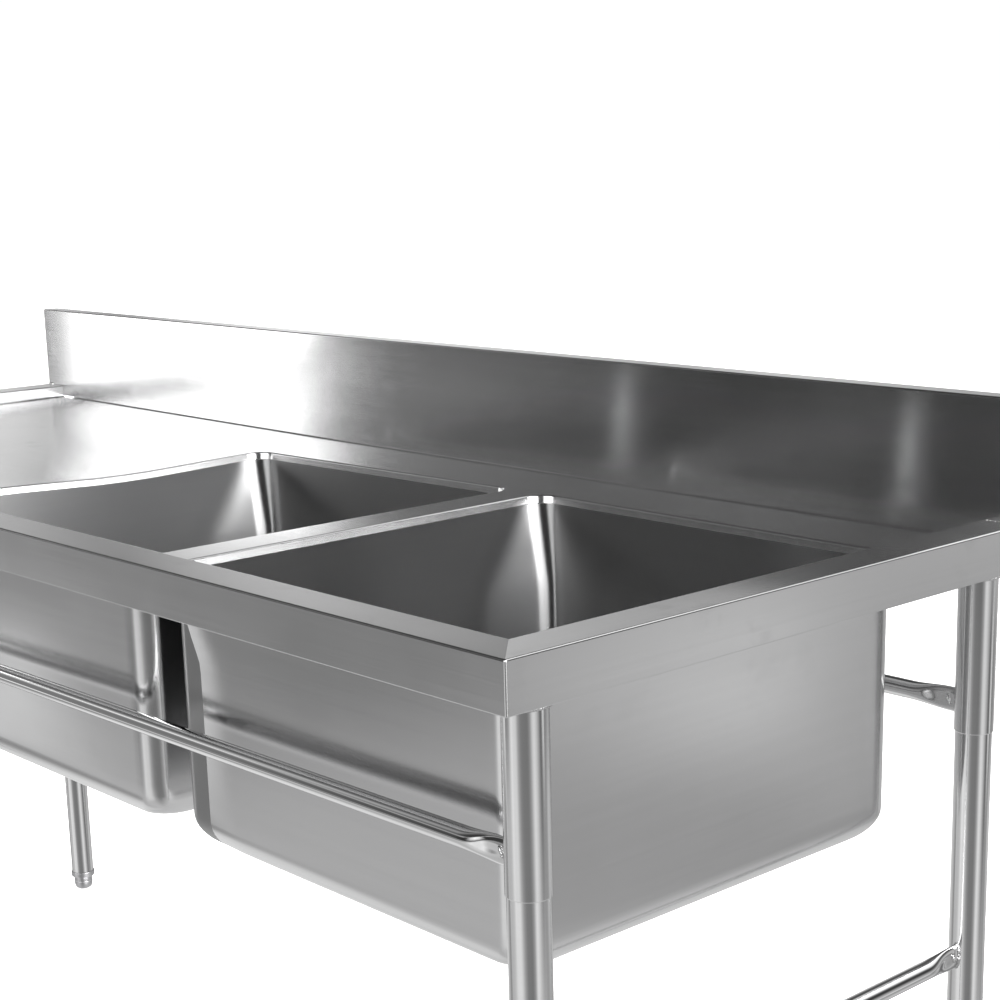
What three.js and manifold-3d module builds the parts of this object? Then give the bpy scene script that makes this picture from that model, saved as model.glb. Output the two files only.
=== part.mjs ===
// Free-standing two-bowl commercial sink with a left-hand drainboard.
// Millimetres, +Z up. Origin: middle of the footprint on the floor.
// +X runs along the length (drainboard at -X), the operator stands at -Y, the wall is at +Y.
import * as THREE from 'three';
import { mergeVertices } from 'three/addons/utils/BufferGeometryUtils.js';
import Module from 'manifold-3d';

// ---------------------------------------------------------------- driving dimensions
const LENGTH = 1850;            // overall, along X
const DEPTH = 700;              // overall, along Y
const RIM_HEIGHT = 855;         // floor to the top of the raised rim
const SHEET = 1.2;              // sheet thickness
const GAP = 0.3;                // between neighbouring pieces
const EDGE = 1.5;               // small bend radius, drawn as a chamfer

const RIM_WIDTH = 45;           // flat top of the raised rim
const APRON_HEIGHT = 45;        // outer face of the rim
const HEM_HEIGHT = 12;          // sheet folded flat against the inside of the apron
const HEM_FACE = 2 * SHEET + 0.1; // outside of the apron to the inner face of the hem
const DECK_RECESS = 21;         // rim top down to the deck
const DRAIN_RECESS_LEFT = 17.5; // rim top down to the drainboard at its high, left end
const COLLAR = 9;               // flange turned down into each bowl

const BACKSPLASH_RISE = 121;    // above the rim
const BACKSPLASH_THICKNESS = 26;
const BACKSPLASH_REAR_FLANGE = 30;

const BOWL_W = 497;             // opening, along X
const BOWL_D = 502;             // opening, along Y
const BOWL_RIGHT_X = 854.5;     // right side of the right bowl's opening
const DIVIDER = 50;             // deck between the bowls
const BOWL_FRONT_Y = -279;      // front side of both openings
const BOWL_CORNER_R = 24;
const BOWL_FILLET_R = 31;
const BOWL_DRAFT = 1.5;         // how far each wall leans in by the bottom
const BOWL_BOTTOM = 307;        // rim top down to the underside of the bowls
const DRAIN_HOLE_R = 44.5;

const LEG_X_RIGHT = 902.8;
const LEG_X_LEFT = -871;
const LEG_Y_FRONT = -311;
const LEG_Y_REAR = 285;
const SOCKET_R = 19.1;
const LEG_R = 17.9;

const TUBE_SEG = 20;
const DRAIN_SEG = 24;
const CORNER_SEG = 6;           // per bowl corner
const FILLET_STEPS = 4;         // rings up the fillet of a bowl

// ---------------------------------------------------------------- derived positions
const HX = LENGTH / 2;
const HY = DEPTH / 2;
const APRON_BOTTOM = RIM_HEIGHT - APRON_HEIGHT;
const DECK_Z = RIM_HEIGHT - DECK_RECESS;
const SPLASH_Y = HY - BACKSPLASH_THICKNESS;    // front face of the backsplash
const SPLASH_TOP = RIM_HEIGHT + BACKSPLASH_RISE;
const DECK_BACK = SPLASH_Y - GAP;
const BOWL_BACK_Y = BOWL_FRONT_Y + BOWL_D;
const FLOOR_OUT = RIM_HEIGHT - BOWL_BOTTOM;    // underside of the bowls
const FLOOR_IN = FLOOR_OUT + SHEET;            // top of the bowl floor

const bowlAt = (side, x1) => ({
  side,
  x0: x1 - BOWL_W,
  x1,
  x: x1 - BOWL_W / 2,                          // centre
  y: (BOWL_FRONT_Y + BOWL_BACK_Y) / 2,
});
const rightBowl = bowlAt('right', BOWL_RIGHT_X);
const leftBowl = bowlAt('left', rightBowl.x0 - DIVIDER);
const bowls = [rightBowl, leftBowl];

// ---------------------------------------------------------------- solids
const wasm = await Module();
wasm.setup();

function toManifold(geometry) {
  let bare = geometry.clone();
  bare.deleteAttribute('normal');
  bare.deleteAttribute('uv');
  bare = mergeVertices(bare, 1e-4);
  return new wasm.Manifold(new wasm.Mesh({
    numProp: 3,
    vertProperties: new Float32Array(bare.attributes.position.array),
    triVerts: new Uint32Array(bare.index.array),
  }));
}

function fromManifold(solid) {
  const mesh = solid.getMesh();
  const geometry = new THREE.BufferGeometry();
  const positions = new Float32Array(mesh.vertProperties);
  geometry.setAttribute('position', new THREE.BufferAttribute(positions, 3));
  geometry.setIndex(new THREE.BufferAttribute(new Uint32Array(mesh.triVerts), 1));
  return geometry;
}

// base and tools are geometries
const cut = (base, ...tools) =>
  tools.reduce((solid, tool) => solid.subtract(toManifold(tool)), toManifold(base));

function box(x0, x1, y0, y1, z0, z1) {
  const geometry = new THREE.BoxGeometry(x1 - x0, y1 - y0, z1 - z0);
  return geometry.translate((x0 + x1) / 2, (y0 + y1) / 2, (z0 + z1) / 2);
}

// cylinder along Y, centred on (x, y, z)
const rodY = (radius, length, segments, x, y, z) =>
  new THREE.CylinderGeometry(radius, radius, length, segments).translate(x, y, z);

const toVectors = points => points.map(([x, y]) => new THREE.Vector2(x, y));

// [radius, z] profile turned about a vertical axis at (x, y); it closes on itself off the axis
function turned(profile, segments, { x, y }) {
  const points = toVectors(profile);
  if (profile[0][0] > 0 || profile.at(-1)[0] > 0) points.push(points[0].clone());
  if (THREE.ShapeUtils.area(points) < 0) points.reverse();
  const geometry = new THREE.LatheGeometry(points, segments);
  geometry.rotateX(Math.PI / 2);
  return geometry.translate(x, y, 0);
}

// rectangular [radius, z] profile of a tube, or of a disc when the inner radius is 0
const tubeProfile = (inner, outer, z0, z1) => [[inner, z0], [outer, z0], [outer, z1], [inner, z1]];

// moves a [radius, z] profile up to a base height
const raised = (profile, base) => profile.map(([radius, z]) => [radius, base + z]);

// upright prism of a polygon of [x, y] points
function prism(points, z0, z1, holes = []) {
  const shape = new THREE.Shape(toVectors(points));
  for (const hole of holes) shape.holes.push(new THREE.Path(toVectors(hole)));
  const geometry = new THREE.ExtrudeGeometry(shape, { depth: z1 - z0, bevelEnabled: false });
  return geometry.translate(0, 0, z0);
}

// prism of a polygon of [y, z] points, pulled along X
function prismAlongX(points, x0, x1) {
  const axes = new THREE.Matrix4().makeBasis(
    new THREE.Vector3(0, 1, 0), new THREE.Vector3(0, 0, 1), new THREE.Vector3(1, 0, 0));
  return prism(points, x0, x1).applyMatrix4(axes);
}

const circle = (radius, count, { x, y }) => Array.from({ length: count }, (_, i) => {
  const angle = 2 * Math.PI * i / count;
  return [x + radius * Math.cos(angle), y + radius * Math.sin(angle)];
});

function indexed(vertices, triangles) {
  const geometry = new THREE.BufferGeometry();
  const positions = new Float32Array(vertices.flat());
  geometry.setAttribute('position', new THREE.BufferAttribute(positions, 3));
  return geometry.setIndex(triangles.flat());
}

const quad = (a, b, c, d) => [[a, b, c], [a, c, d]];

// triangles joining successive rings, facing out when the rings run
// counter-clockwise seen from the last one
function sideTriangles(rings) {
  const count = rings[0].length;
  const triangles = [];
  for (let k = 0; k + 1 < rings.length; k++) {
    for (let i = 0; i < count; i++) {
      const a = k * count + i;
      const b = k * count + (i + 1) % count;
      triangles.push(...quad(a, b, b + count, a + count));
    }
  }
  return triangles;
}

// closed skin over counter-clockwise rings of 3-D points; both ends are fanned shut
function loft(rings) {
  const count = rings[0].length;
  const middle = ring => ring.reduce(
    (sum, point) => sum.map((value, axis) => value + point[axis] / count), [0, 0, 0]);
  const vertices = [...rings.flat(), middle(rings[0]), middle(rings.at(-1))];
  const triangles = sideTriangles(rings);
  const firstMiddle = rings.length * count;
  const lastMiddle = firstMiddle + 1;
  const lastRing = (rings.length - 1) * count;
  for (let i = 0; i < count; i++) {
    const next = (i + 1) % count;
    triangles.push([firstMiddle, next, i], [lastMiddle, lastRing + i, lastRing + next]);
  }
  return indexed(vertices, triangles);
}

// closed skin over rings of a profile that runs clockwise seen from the last ring;
// the ends are triangulated because the profile is not convex
function swept(rings, profile) {
  const lastRing = (rings.length - 1) * profile.length;
  const triangles = sideTriangles(rings).map(([a, b, c]) => [a, c, b]);
  for (const [a, b, c] of THREE.ShapeUtils.triangulateShape(toVectors(profile), [])) {
    triangles.push([a, c, b], [lastRing + a, lastRing + b, lastRing + c]);
  }
  return indexed(rings.flat(), triangles);
}

// ---------------------------------------------------------------- group and finishes
const group = new THREE.Group();
group.name = 'two_bowl_sink';

const finishes = {
  satin: { color: 0xc9cbcc, roughness: 0.34, metalness: 1.0 },
  polished: { color: 0xd2d4d6, roughness: 0.16, metalness: 1.0 },
  rubber: { color: 0x1c1c1e, roughness: 0.85, metalness: 0.0 },
  nylon: { color: 0x5c5e60, roughness: 0.55, metalness: 0.0 },
  zinc: { color: 0xb4b6b8, roughness: 0.4, metalness: 1.0 },
};

// piece is a geometry or a manifold; it is shaded flat
function add(name, piece, finish) {
  const source = piece.isBufferGeometry ? piece : fromManifold(piece);
  const geometry = source.index ? source.toNonIndexed() : source;
  geometry.computeVertexNormals();
  const mesh = new THREE.Mesh(geometry, new THREE.MeshStandardMaterial(finishes[finish]));
  mesh.name = name;
  group.add(mesh);
}

// ---------------------------------------------------------------- deck surface
// The drainboard is dished about its middle and falls towards the left bowl.
// The deck ends inside the thickness of the rim's inner sheet.
const DECK_INSET = RIM_WIDTH - SHEET / 2;
// [x, depth below the rim, share of the dish]
const DECK_COLUMNS = [
  [-HX + DECK_INSET, DRAIN_RECESS_LEFT, 0.2],
  [leftBowl.x0, DECK_RECESS, 1],
  [leftBowl.x1, DECK_RECESS, 0],
  [rightBowl.x0, DECK_RECESS, 0],
  [HX - DECK_INSET, DECK_RECESS, 0],
];
// [y, extra depth of the dish beside the left bowl]
const DECK_ROWS = [
  [-HY + DECK_INSET, 0], [BOWL_FRONT_Y, 0], [-150, 3.5], [-20, 10],
  [50, 10.5], [150, 7.5], [BOWL_BACK_Y, 6], [DECK_BACK, 0],
];

// everything from zBottom up to `drop` below the deck surface, widened all round by `overhang`
function belowDeckSurface(drop, overhang, zBottom) {
  const lastX = DECK_COLUMNS.length - 1;
  const lastY = DECK_ROWS.length - 1;
  const widened = (value, i, last) =>
    value + (i === 0 ? -overhang : i === last ? overhang : 0);
  const top = [];
  DECK_COLUMNS.forEach(([x, depth, share], i) => {
    DECK_ROWS.forEach(([y, dish], j) => {
      const z = RIM_HEIGHT - depth - share * dish - drop;
      top.push([widened(x, i, lastX), widened(y, j, lastY), z]);
    });
  });
  const bottom = top.map(([x, y]) => [x, y, zBottom]);

  const upper = (i, j) => i * DECK_ROWS.length + j;
  const lower = (i, j) => top.length + upper(i, j);
  const triangles = [];
  for (let i = 0; i < lastX; i++) {
    for (let j = 0; j < lastY; j++) {
      triangles.push(
        ...quad(upper(i, j), upper(i + 1, j), upper(i + 1, j + 1), upper(i, j + 1)),
        ...quad(lower(i, j), lower(i, j + 1), lower(i + 1, j + 1), lower(i + 1, j)));
    }
  }
  for (let i = 0; i < lastX; i++) {
    triangles.push(
      ...quad(upper(i, 0), lower(i, 0), lower(i + 1, 0), upper(i + 1, 0)),
      ...quad(upper(i, lastY), upper(i + 1, lastY), lower(i + 1, lastY), lower(i, lastY)));
  }
  for (let j = 0; j < lastY; j++) {
    triangles.push(
      ...quad(upper(0, j), upper(0, j + 1), lower(0, j + 1), lower(0, j)),
      ...quad(upper(lastX, j), lower(lastX, j), lower(lastX, j + 1), upper(lastX, j + 1)));
  }
  return toManifold(indexed([...top, ...bottom], triangles));
}

// ---------------------------------------------------------------- deck and drainboard
// [x, y] outline of a bowl, moved in by `inset`, counter-clockwise
function bowlOutline(bowl, inset, radius) {
  const left = bowl.x0 + inset + radius;
  const right = bowl.x1 - inset - radius;
  const front = BOWL_FRONT_Y + inset + radius;
  const back = BOWL_BACK_Y - inset - radius;
  const points = [];
  const corners = [[right, back, 0], [left, back, 90], [left, front, 180], [right, front, 270]];
  for (const [x, y, start] of corners) {
    for (let i = 0; i <= CORNER_SEG; i++) {
      const angle = (start + 90 * i / CORNER_SEG) * Math.PI / 180;
      points.push([x + radius * Math.cos(angle), y + radius * Math.sin(angle)]);
    }
  }
  return points;
}

// [distance in from the outer face, z] of the folded rim, apron and hem
const RIM_PROFILE = [
  [0, APRON_BOTTOM],
  [0, RIM_HEIGHT - EDGE],
  [EDGE, RIM_HEIGHT],
  [RIM_WIDTH - EDGE, RIM_HEIGHT],
  [RIM_WIDTH, RIM_HEIGHT - EDGE],
  [RIM_WIDTH, DECK_Z - SHEET],
  [RIM_WIDTH - SHEET, DECK_Z - SHEET],
  [RIM_WIDTH - SHEET, RIM_HEIGHT - SHEET],
  [SHEET, RIM_HEIGHT - SHEET],
  [SHEET, APRON_BOTTOM + HEM_HEIGHT],
  [HEM_FACE, APRON_BOTTOM + HEM_HEIGHT],
  [HEM_FACE, APRON_BOTTOM],
];

// runs round the left, front and right sides with mitred corners
function rim() {
  const rings = [
    RIM_PROFILE.map(([inward, z]) => [-HX + inward, DECK_BACK, z]),
    RIM_PROFILE.map(([inward, z]) => [-HX + inward, -HY + inward, z]),
    RIM_PROFILE.map(([inward, z]) => [HX - inward, -HY + inward, z]),
    RIM_PROFILE.map(([inward, z]) => [HX - inward, DECK_BACK, z]),
  ];
  return swept(rings, RIM_PROFILE);
}

// [low x, high x] of a band at the left (-1) or right (1) end of the sink
const endSpan = (end, inward, outward = 0) =>
  [end * (HX + outward), end * (HX - inward)].sort((a, b) => a - b);

function deckAndDrainboard() {
  const belowDeck = belowDeckSurface(0, 0, 700);
  const belowSheet = belowDeckSurface(SHEET, 5, 690);
  const belowCollar = belowDeckSurface(COLLAR, 5, 690);
  let deck = belowDeck.subtract(belowSheet);
  for (const bowl of bowls) {
    const block = prism(bowlOutline(bowl, -SHEET, BOWL_CORNER_R + SHEET), 601, 899);
    deck = deck.add(toManifold(block).intersect(belowDeck).subtract(belowCollar));
  }
  deck = deck.add(toManifold(rim()));
  // the aprons carry on past the backsplash to the wall line
  for (const end of [-1, 1]) {
    const apron = box(...endSpan(end, SHEET), DECK_BACK - 4, HY, APRON_BOTTOM, RIM_HEIGHT);
    deck = deck.add(toManifold(apron));
  }
  for (const bowl of bowls) {
    deck = deck.subtract(toManifold(prism(bowlOutline(bowl, 0, BOWL_CORNER_R), 600, 900)));
  }
  return deck;
}

// ---------------------------------------------------------------- backsplash
const SPLASH_FOOT_Y = 314;                     // front edge of the flange under the deck
const SPLASH_FOOT_TOP = DECK_Z - SHEET - 1.2;
const SPLASH_FOOT_BOTTOM = SPLASH_FOOT_TOP - SHEET;
const SPLASH_FLANGE_Z = SPLASH_TOP - BACKSPLASH_REAR_FLANGE;
// [y, z] of the folded sheet
const SPLASH_PROFILE = [
  [SPLASH_FOOT_Y, SPLASH_FOOT_BOTTOM],
  [SPLASH_FOOT_Y, SPLASH_FOOT_TOP],
  [SPLASH_Y, SPLASH_FOOT_TOP],
  [SPLASH_Y, SPLASH_TOP - EDGE],
  [SPLASH_Y + EDGE, SPLASH_TOP],
  [HY - EDGE, SPLASH_TOP],
  [HY, SPLASH_TOP - EDGE],
  [HY, SPLASH_FLANGE_Z],
  [HY - SHEET, SPLASH_FLANGE_Z],
  [HY - SHEET, SPLASH_TOP - SHEET],
  [SPLASH_Y + SHEET, SPLASH_TOP - SHEET],
  [SPLASH_Y + SHEET, SPLASH_FOOT_BOTTOM],
];

// notched at both ends to clear the aprons
function backsplash() {
  const notches = [1, -1].map(end =>
    box(...endSpan(end, SHEET + GAP, 5), 300, HY + 5, 800, RIM_HEIGHT + GAP));
  return cut(prismAlongX(SPLASH_PROFILE, -HX, HX), ...notches);
}

const backsplashEndCap = end => box(
  ...endSpan(end, SHEET),
  SPLASH_Y + SHEET + GAP, HY - SHEET - GAP,
  RIM_HEIGHT + GAP, SPLASH_TOP - SHEET - GAP);

// ---------------------------------------------------------------- bowls
// solid block of the bowl's shape, drafted and filleted
function bowlBlock(bowl, inset, zFloor, fillet, corner) {
  const ring = (inward, z, radius) =>
    bowlOutline(bowl, inward, radius).map(([x, y]) => [x, y, z]);
  const rings = [ring(inset + BOWL_DRAFT + fillet * 0.995, zFloor, 5)];
  for (let i = 1; i <= FILLET_STEPS; i++) {
    const angle = (90 * i / FILLET_STEPS) * Math.PI / 180;
    const curve = fillet * (1 - Math.sin(angle));
    const z = zFloor + fillet * (1 - Math.cos(angle));
    rings.push(ring(inset + BOWL_DRAFT + curve, z, Math.max(6, corner - curve * 0.75)));
  }
  rings.push(ring(inset, 850, corner));
  return loft(rings);
}

function bowlShell(bowl) {
  const outer = bowlBlock(
    bowl, -SHEET, FLOOR_OUT, BOWL_FILLET_R + SHEET, BOWL_CORNER_R + SHEET);
  const inner = bowlBlock(bowl, 0, FLOOR_IN, BOWL_FILLET_R, BOWL_CORNER_R);
  const drainHole = turned(tubeProfile(0, DRAIN_HOLE_R, 500, 600), DRAIN_SEG, bowl);
  return cut(outer, inner, drainHole).intersect(belowDeckSurface(COLLAR + GAP, 5, 500));
}

// ---------------------------------------------------------------- legs
const PLATE_TOP = DECK_Z - SHEET - GAP;
const PLATE_BOTTOM = PLATE_TOP - 3;
const SOCKET_BORE_R = 18.2;
const SOCKET_BOTTOM = 654;
const SOCKET_TOP = PLATE_BOTTOM - GAP;
const LEG_BORE_R = 16.7;
const LEG_TOP = 764;

const SCREW_Z = 676;            // set screws in the sockets
const SCREW_R = 3;
const SCREW_LENGTH = 5.5;
const SCREW_START = LEG_R + GAP; // leg axis to the inner end of the screw

const FOOT_R = 15;
const FOOT_TOP = 21.7;
const STUD_R = 6;
const STUD_TOP = 78;
const INSERT_LIP_R = 19.3;
const INSERT_LIP_BOTTOM = 22;
const INSERT_LIP_TOP = 31;
const INSERT_TOP = 61;

// [radius, z] profiles
const SOCKET_PROFILE = [
  [SOCKET_BORE_R, SOCKET_BOTTOM], [SOCKET_R - 0.4, SOCKET_BOTTOM],
  [SOCKET_R, SOCKET_BOTTOM + 2.5], [SOCKET_R, SOCKET_TOP], [SOCKET_BORE_R, SOCKET_TOP],
];
const INSERT_PROFILE = [
  [STUD_R + GAP, INSERT_LIP_BOTTOM], [INSERT_LIP_R - 1.5, INSERT_LIP_BOTTOM],
  [INSERT_LIP_R, INSERT_LIP_BOTTOM + 1.5], [INSERT_LIP_R, INSERT_LIP_TOP],
  [LEG_BORE_R - GAP, INSERT_LIP_TOP], [LEG_BORE_R - GAP, INSERT_TOP],
  [STUD_R + GAP, INSERT_TOP],
];
const FOOT_PROFILE = [
  [0, 0], [9.5, 0], [12.5, 2.5], [FOOT_R, 8], [FOOT_R, FOOT_TOP - 1], [FOOT_R - 1, FOOT_TOP],
  [STUD_R, FOOT_TOP], [STUD_R, STUD_TOP - 1], [STUD_R - 1, STUD_TOP], [0, STUD_TOP],
];

// the front plates reach the front hem, the right-hand ones the right hem
function socketPlate({ x, y }) {
  const spanX = x > 0 ? [x - 30, HX - HEM_FACE - GAP] : [x - 28, x + 28];
  const spanY = y < 0 ? [-HY + HEM_FACE + GAP, y + 28] : [y - 23, y + 23];
  return box(...spanX, ...spanY, PLATE_BOTTOM, PLATE_TOP);
}

// the screw holes face the wall
function legSocket(leg) {
  const bore = rodY(SCREW_R + GAP, 20, 10, leg.x, leg.y + 22, SCREW_Z);
  return cut(turned(SOCKET_PROFILE, TUBE_SEG, leg), bore);
}

function setScrew({ x, y }) {
  const start = y + SCREW_START;
  const body = rodY(SCREW_R, SCREW_LENGTH, 10, x, start + SCREW_LENGTH / 2, SCREW_Z);
  const hexRecess = rodY(1.5, 4, 6, x, start + SCREW_LENGTH, SCREW_Z);
  return cut(body, hexRecess);
}

function addLeg(leg) {
  const tube = tubeProfile(LEG_BORE_R, LEG_R, INSERT_LIP_TOP + GAP, LEG_TOP);
  add(`socket_plate_${leg.name}`, socketPlate(leg), 'satin');
  add(`leg_socket_${leg.name}`, legSocket(leg), 'satin');
  add(`set_screw_${leg.name}`, setScrew(leg), 'zinc');
  add(`leg_tube_${leg.name}`, turned(tube, TUBE_SEG, leg), 'satin');
  add(`foot_insert_${leg.name}`, turned(INSERT_PROFILE, TUBE_SEG, leg), 'zinc');
  add(`foot_${leg.name}`, turned(FOOT_PROFILE, 16, leg), 'zinc');
}

const legs = [
  { name: 'front_right', x: LEG_X_RIGHT, y: LEG_Y_FRONT },
  { name: 'front_left', x: LEG_X_LEFT, y: LEG_Y_FRONT },
  { name: 'rear_right', x: LEG_X_RIGHT, y: LEG_Y_REAR },
  { name: 'rear_left', x: LEG_X_LEFT, y: LEG_Y_REAR },
];

// ---------------------------------------------------------------- braces
const BRACE_R = 9.5;
const BRACE_WALL = 1.2;
const BRACE_SEG = 14;
const PRESSED_HALF_WIDTH = 3.4;  // where the tube is pressed flat
const PRESSED_HALF_HEIGHT = 12.5;
// [distance from the end, how far pressed: 0 round, 1 flat]
const PRESSED_END = [[0, 1], [10, 1], [30, 0.45], [52, 0]];

const SOCKET_REACH = SOCKET_R + 0.5; // leg axis to the end of a front or rear brace
const LEG_REACH = LEG_R + 0.5;       // leg axis to the end of a side brace

// tube between two [x, y, z] points, with both ends pressed flat
function brace(from, to) {
  const start = new THREE.Vector3(...from);
  const along = new THREE.Vector3(...to).sub(start);
  const length = along.length();
  along.normalize();
  const side = along.clone().cross(new THREE.Vector3(0, 0, 1)).normalize();
  const lift = side.clone().cross(along).normalize();
  // from the far end back to the start, so that the lofted skin faces out
  const stations = [
    ...PRESSED_END.map(([distance, press]) => [length - distance, press]),
    ...PRESSED_END.toReversed(),
  ];

  function ring(distance, press, wall) {
    const halfWidth = BRACE_R + (PRESSED_HALF_WIDTH - BRACE_R) * press - wall;
    const halfHeight = BRACE_R + (PRESSED_HALF_HEIGHT - BRACE_R) * press - wall;
    return circle(1, BRACE_SEG, { x: 0, y: 0 }).map(([across, up]) => start.clone()
      .addScaledVector(along, distance)
      .addScaledVector(side, halfWidth * across)
      .addScaledVector(lift, halfHeight * up)
      .toArray());
  }

  // the bore runs 1 past each end
  const overrun = distance => (distance === 0 ? -1 : distance === length ? length + 1 : distance);
  const outer = stations.map(([distance, press]) => ring(distance, press, 0));
  const bore = stations.map(([distance, press]) => ring(overrun(distance), press, BRACE_WALL));
  return cut(loft(outer), loft(bore));
}

// zLeft and zRight are the heights of the two ends
const lengthwiseBrace = (y, zLeft, zRight) =>
  brace([LEG_X_LEFT + SOCKET_REACH, y, zLeft], [LEG_X_RIGHT - SOCKET_REACH, y, zRight]);
const sideBrace = x =>
  brace([x, LEG_Y_FRONT + LEG_REACH, 422], [x, LEG_Y_REAR - LEG_REACH, 422]);

// ---------------------------------------------------------------- drainboard channels
const CHANNEL = {
  halfWidth: 25, height: 24, wall: 1.2, xLeft: -845, xRight: -215,
};

// open-bottomed channel about y; zLeft and zRight are the heights of its top at the two ends
function drainboardChannel(y, zLeft, zRight) {
  const { halfWidth, height, wall, xLeft, xRight } = CHANNEL;
  const inner = halfWidth - wall;
  const profile = top => [
    [y - halfWidth, top - height], [y - halfWidth, top],
    [y + halfWidth, top], [y + halfWidth, top - height],
    [y + inner, top - height], [y + inner, top - wall],
    [y - inner, top - wall], [y - inner, top - height],
  ];
  const ring = (x, top) => profile(top).map(point => [x, ...point]);
  return swept([ring(xLeft, zLeft), ring(xRight, zRight)], profile(zLeft));
}

// ---------------------------------------------------------------- wastes
// strainer body clamped through the bowl floor, removable basket, tailpiece
const OUTLET_DROP = 61;                        // bowl floor to the bottom of the outlet
const OUTLET_Z = FLOOR_IN - OUTLET_DROP;
const TAIL_BOTTOM = 432;
const TAIL_BORE_R = 17.6;

// [radius, height above the bowl floor]
const STRAINER_PROFILE = [
  [56, GAP], [56, GAP + 0.8], [54, GAP + 1.4], [43.4, GAP + 1.4], [41.8, -1], [41.8, -9],
  [38, -9], [38, -44], [19.5, -47], [19.5, -OUTLET_DROP], [21, -OUTLET_DROP],
  [21, -48.6], [39.4, -45.4], [39.4, -14], [43.2, -14], [43.2, GAP],
];
const BASKET_PROFILE = [
  [0, -36.5], [24, -36.5], [35.5, -34.5], [36.6, -31], [36.6, -8.7], [41.2, -8.7],
  [41.2, -7.6], [35.6, -7.6], [35.6, -30], [34.6, -33.3], [24, -35.3], [4, -35.3],
  [2.6, -8], [2.6, 1], [8, 2.5], [8, 6], [6, 7.5], [0, 7.5],
];
const SEAL_PROFILE = [[0, -42.5], [17, -42.5], [24, -39.8], [24, -36.8], [0, -36.8]];
// [radius, z]
const GASKET_PROFILE = tubeProfile(44.4, 56, FLOOR_OUT - GAP, FLOOR_OUT - GAP - 2.5);
const WASHER_PROFILE = tubeProfile(44.4, 57, FLOOR_OUT - 3.1, FLOOR_OUT - 4);
const TAILPIECE_PROFILE = [
  [TAIL_BORE_R, OUTLET_Z - GAP], [21, OUTLET_Z - GAP], [21, OUTLET_Z - 2.8],
  [19, OUTLET_Z - 2.8], [19, TAIL_BOTTOM], [TAIL_BORE_R, TAIL_BOTTOM],
];

// ring with eight lugs; two of every four outline points stand out
function locknut(bowl) {
  const outline = circle(1, 32, { x: 0, y: 0 }).map(([x, y], i) => {
    const radius = i % 4 < 2 ? 58 : 53;
    return [bowl.x + radius * x, bowl.y + radius * y];
  });
  return prism(outline, FLOOR_OUT - 12.3, FLOOR_OUT - 4.3, [circle(43.5, DRAIN_SEG, bowl)]);
}

function couplingNut(bowl) {
  const bore = circle(19.4, DRAIN_SEG, bowl);
  const hexagon = prism(circle(28, 6, bowl), OUTLET_Z - 7, OUTLET_Z + 11, [bore]);
  const counterbore = tubeProfile(0, 21.4, OUTLET_Z - 3.4, OUTLET_Z + 20);
  return cut(hexagon, turned(counterbore, DRAIN_SEG, bowl));
}

// eight holes through the floor and eight slots through the wall
function strainerBasket(bowl) {
  const tools = [];
  for (let i = 0; i < 8; i++) {
    const angle = 2 * Math.PI * (i + 0.5) / 8;
    const place = (tool, radius, z) => tool.translate(
      bowl.x + radius * Math.cos(angle), bowl.y + radius * Math.sin(angle), FLOOR_IN + z);
    const hole = new THREE.CylinderGeometry(2.6, 2.6, 8, 6).rotateX(Math.PI / 2);
    const slot = new THREE.BoxGeometry(8, 3, 14).rotateZ(angle);
    tools.push(place(hole, 29.5, -35), place(slot, 36, -20));
  }
  return cut(turned(raised(BASKET_PROFILE, FLOOR_IN), DRAIN_SEG, bowl), ...tools);
}

function addWaste(bowl) {
  const { side } = bowl;
  const strainer = turned(raised(STRAINER_PROFILE, FLOOR_IN), DRAIN_SEG, bowl);
  const seal = turned(raised(SEAL_PROFILE, FLOOR_IN), DRAIN_SEG, bowl);
  add(`strainer_body_${side}`, strainer, 'polished');
  add(`drain_gasket_${side}`, turned(GASKET_PROFILE, DRAIN_SEG, bowl), 'rubber');
  add(`friction_washer_${side}`, turned(WASHER_PROFILE, DRAIN_SEG, bowl), 'nylon');
  add(`locknut_${side}`, locknut(bowl), 'zinc');
  add(`coupling_nut_${side}`, couplingNut(bowl), 'zinc');
  add(`tailpiece_${side}`, turned(TAILPIECE_PROFILE, TUBE_SEG, bowl), 'polished');
  add(`strainer_basket_${side}`, strainerBasket(bowl), 'polished');
  add(`stopper_seal_${side}`, seal, 'rubber');
}

// ---------------------------------------------------------------- assembly
add('deck_and_drainboard', deckAndDrainboard(), 'satin');
add('backsplash', backsplash(), 'satin');
add('backsplash_end_cap_left', backsplashEndCap(-1), 'satin');
add('backsplash_end_cap_right', backsplashEndCap(1), 'satin');
for (const bowl of bowls) add(`bowl_${bowl.side}`, bowlShell(bowl), 'satin');
legs.forEach(addLeg);
add('brace_front', lengthwiseBrace(LEG_Y_FRONT, 667, 683), 'polished');
add('brace_rear', lengthwiseBrace(LEG_Y_REAR, 680.5, 680.5), 'polished');
add('brace_side_right', sideBrace(LEG_X_RIGHT), 'polished');
add('brace_side_left', sideBrace(LEG_X_LEFT), 'polished');
add('drainboard_channel_front', drainboardChannel(-150, 833.6, 827.2), 'satin');
add('drainboard_channel_rear', drainboardChannel(150, 832.8, 823.6), 'satin');
bowls.forEach(addWaste);

export default group;
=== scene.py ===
"""Stainless sink stand: a drainboard with two bowls to its right, a backsplash and braced legs.

X runs left to right, Y from the front (-Y) to the wall (+Y), Z up from the floor. Lengths are
millimetres in that frame unless a comment says otherwise; most places come from the CAD nodes.
"""
import math
import bmesh
import bpy
import numpy as np
from mathutils import Matrix, Vector, geometry


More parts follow.
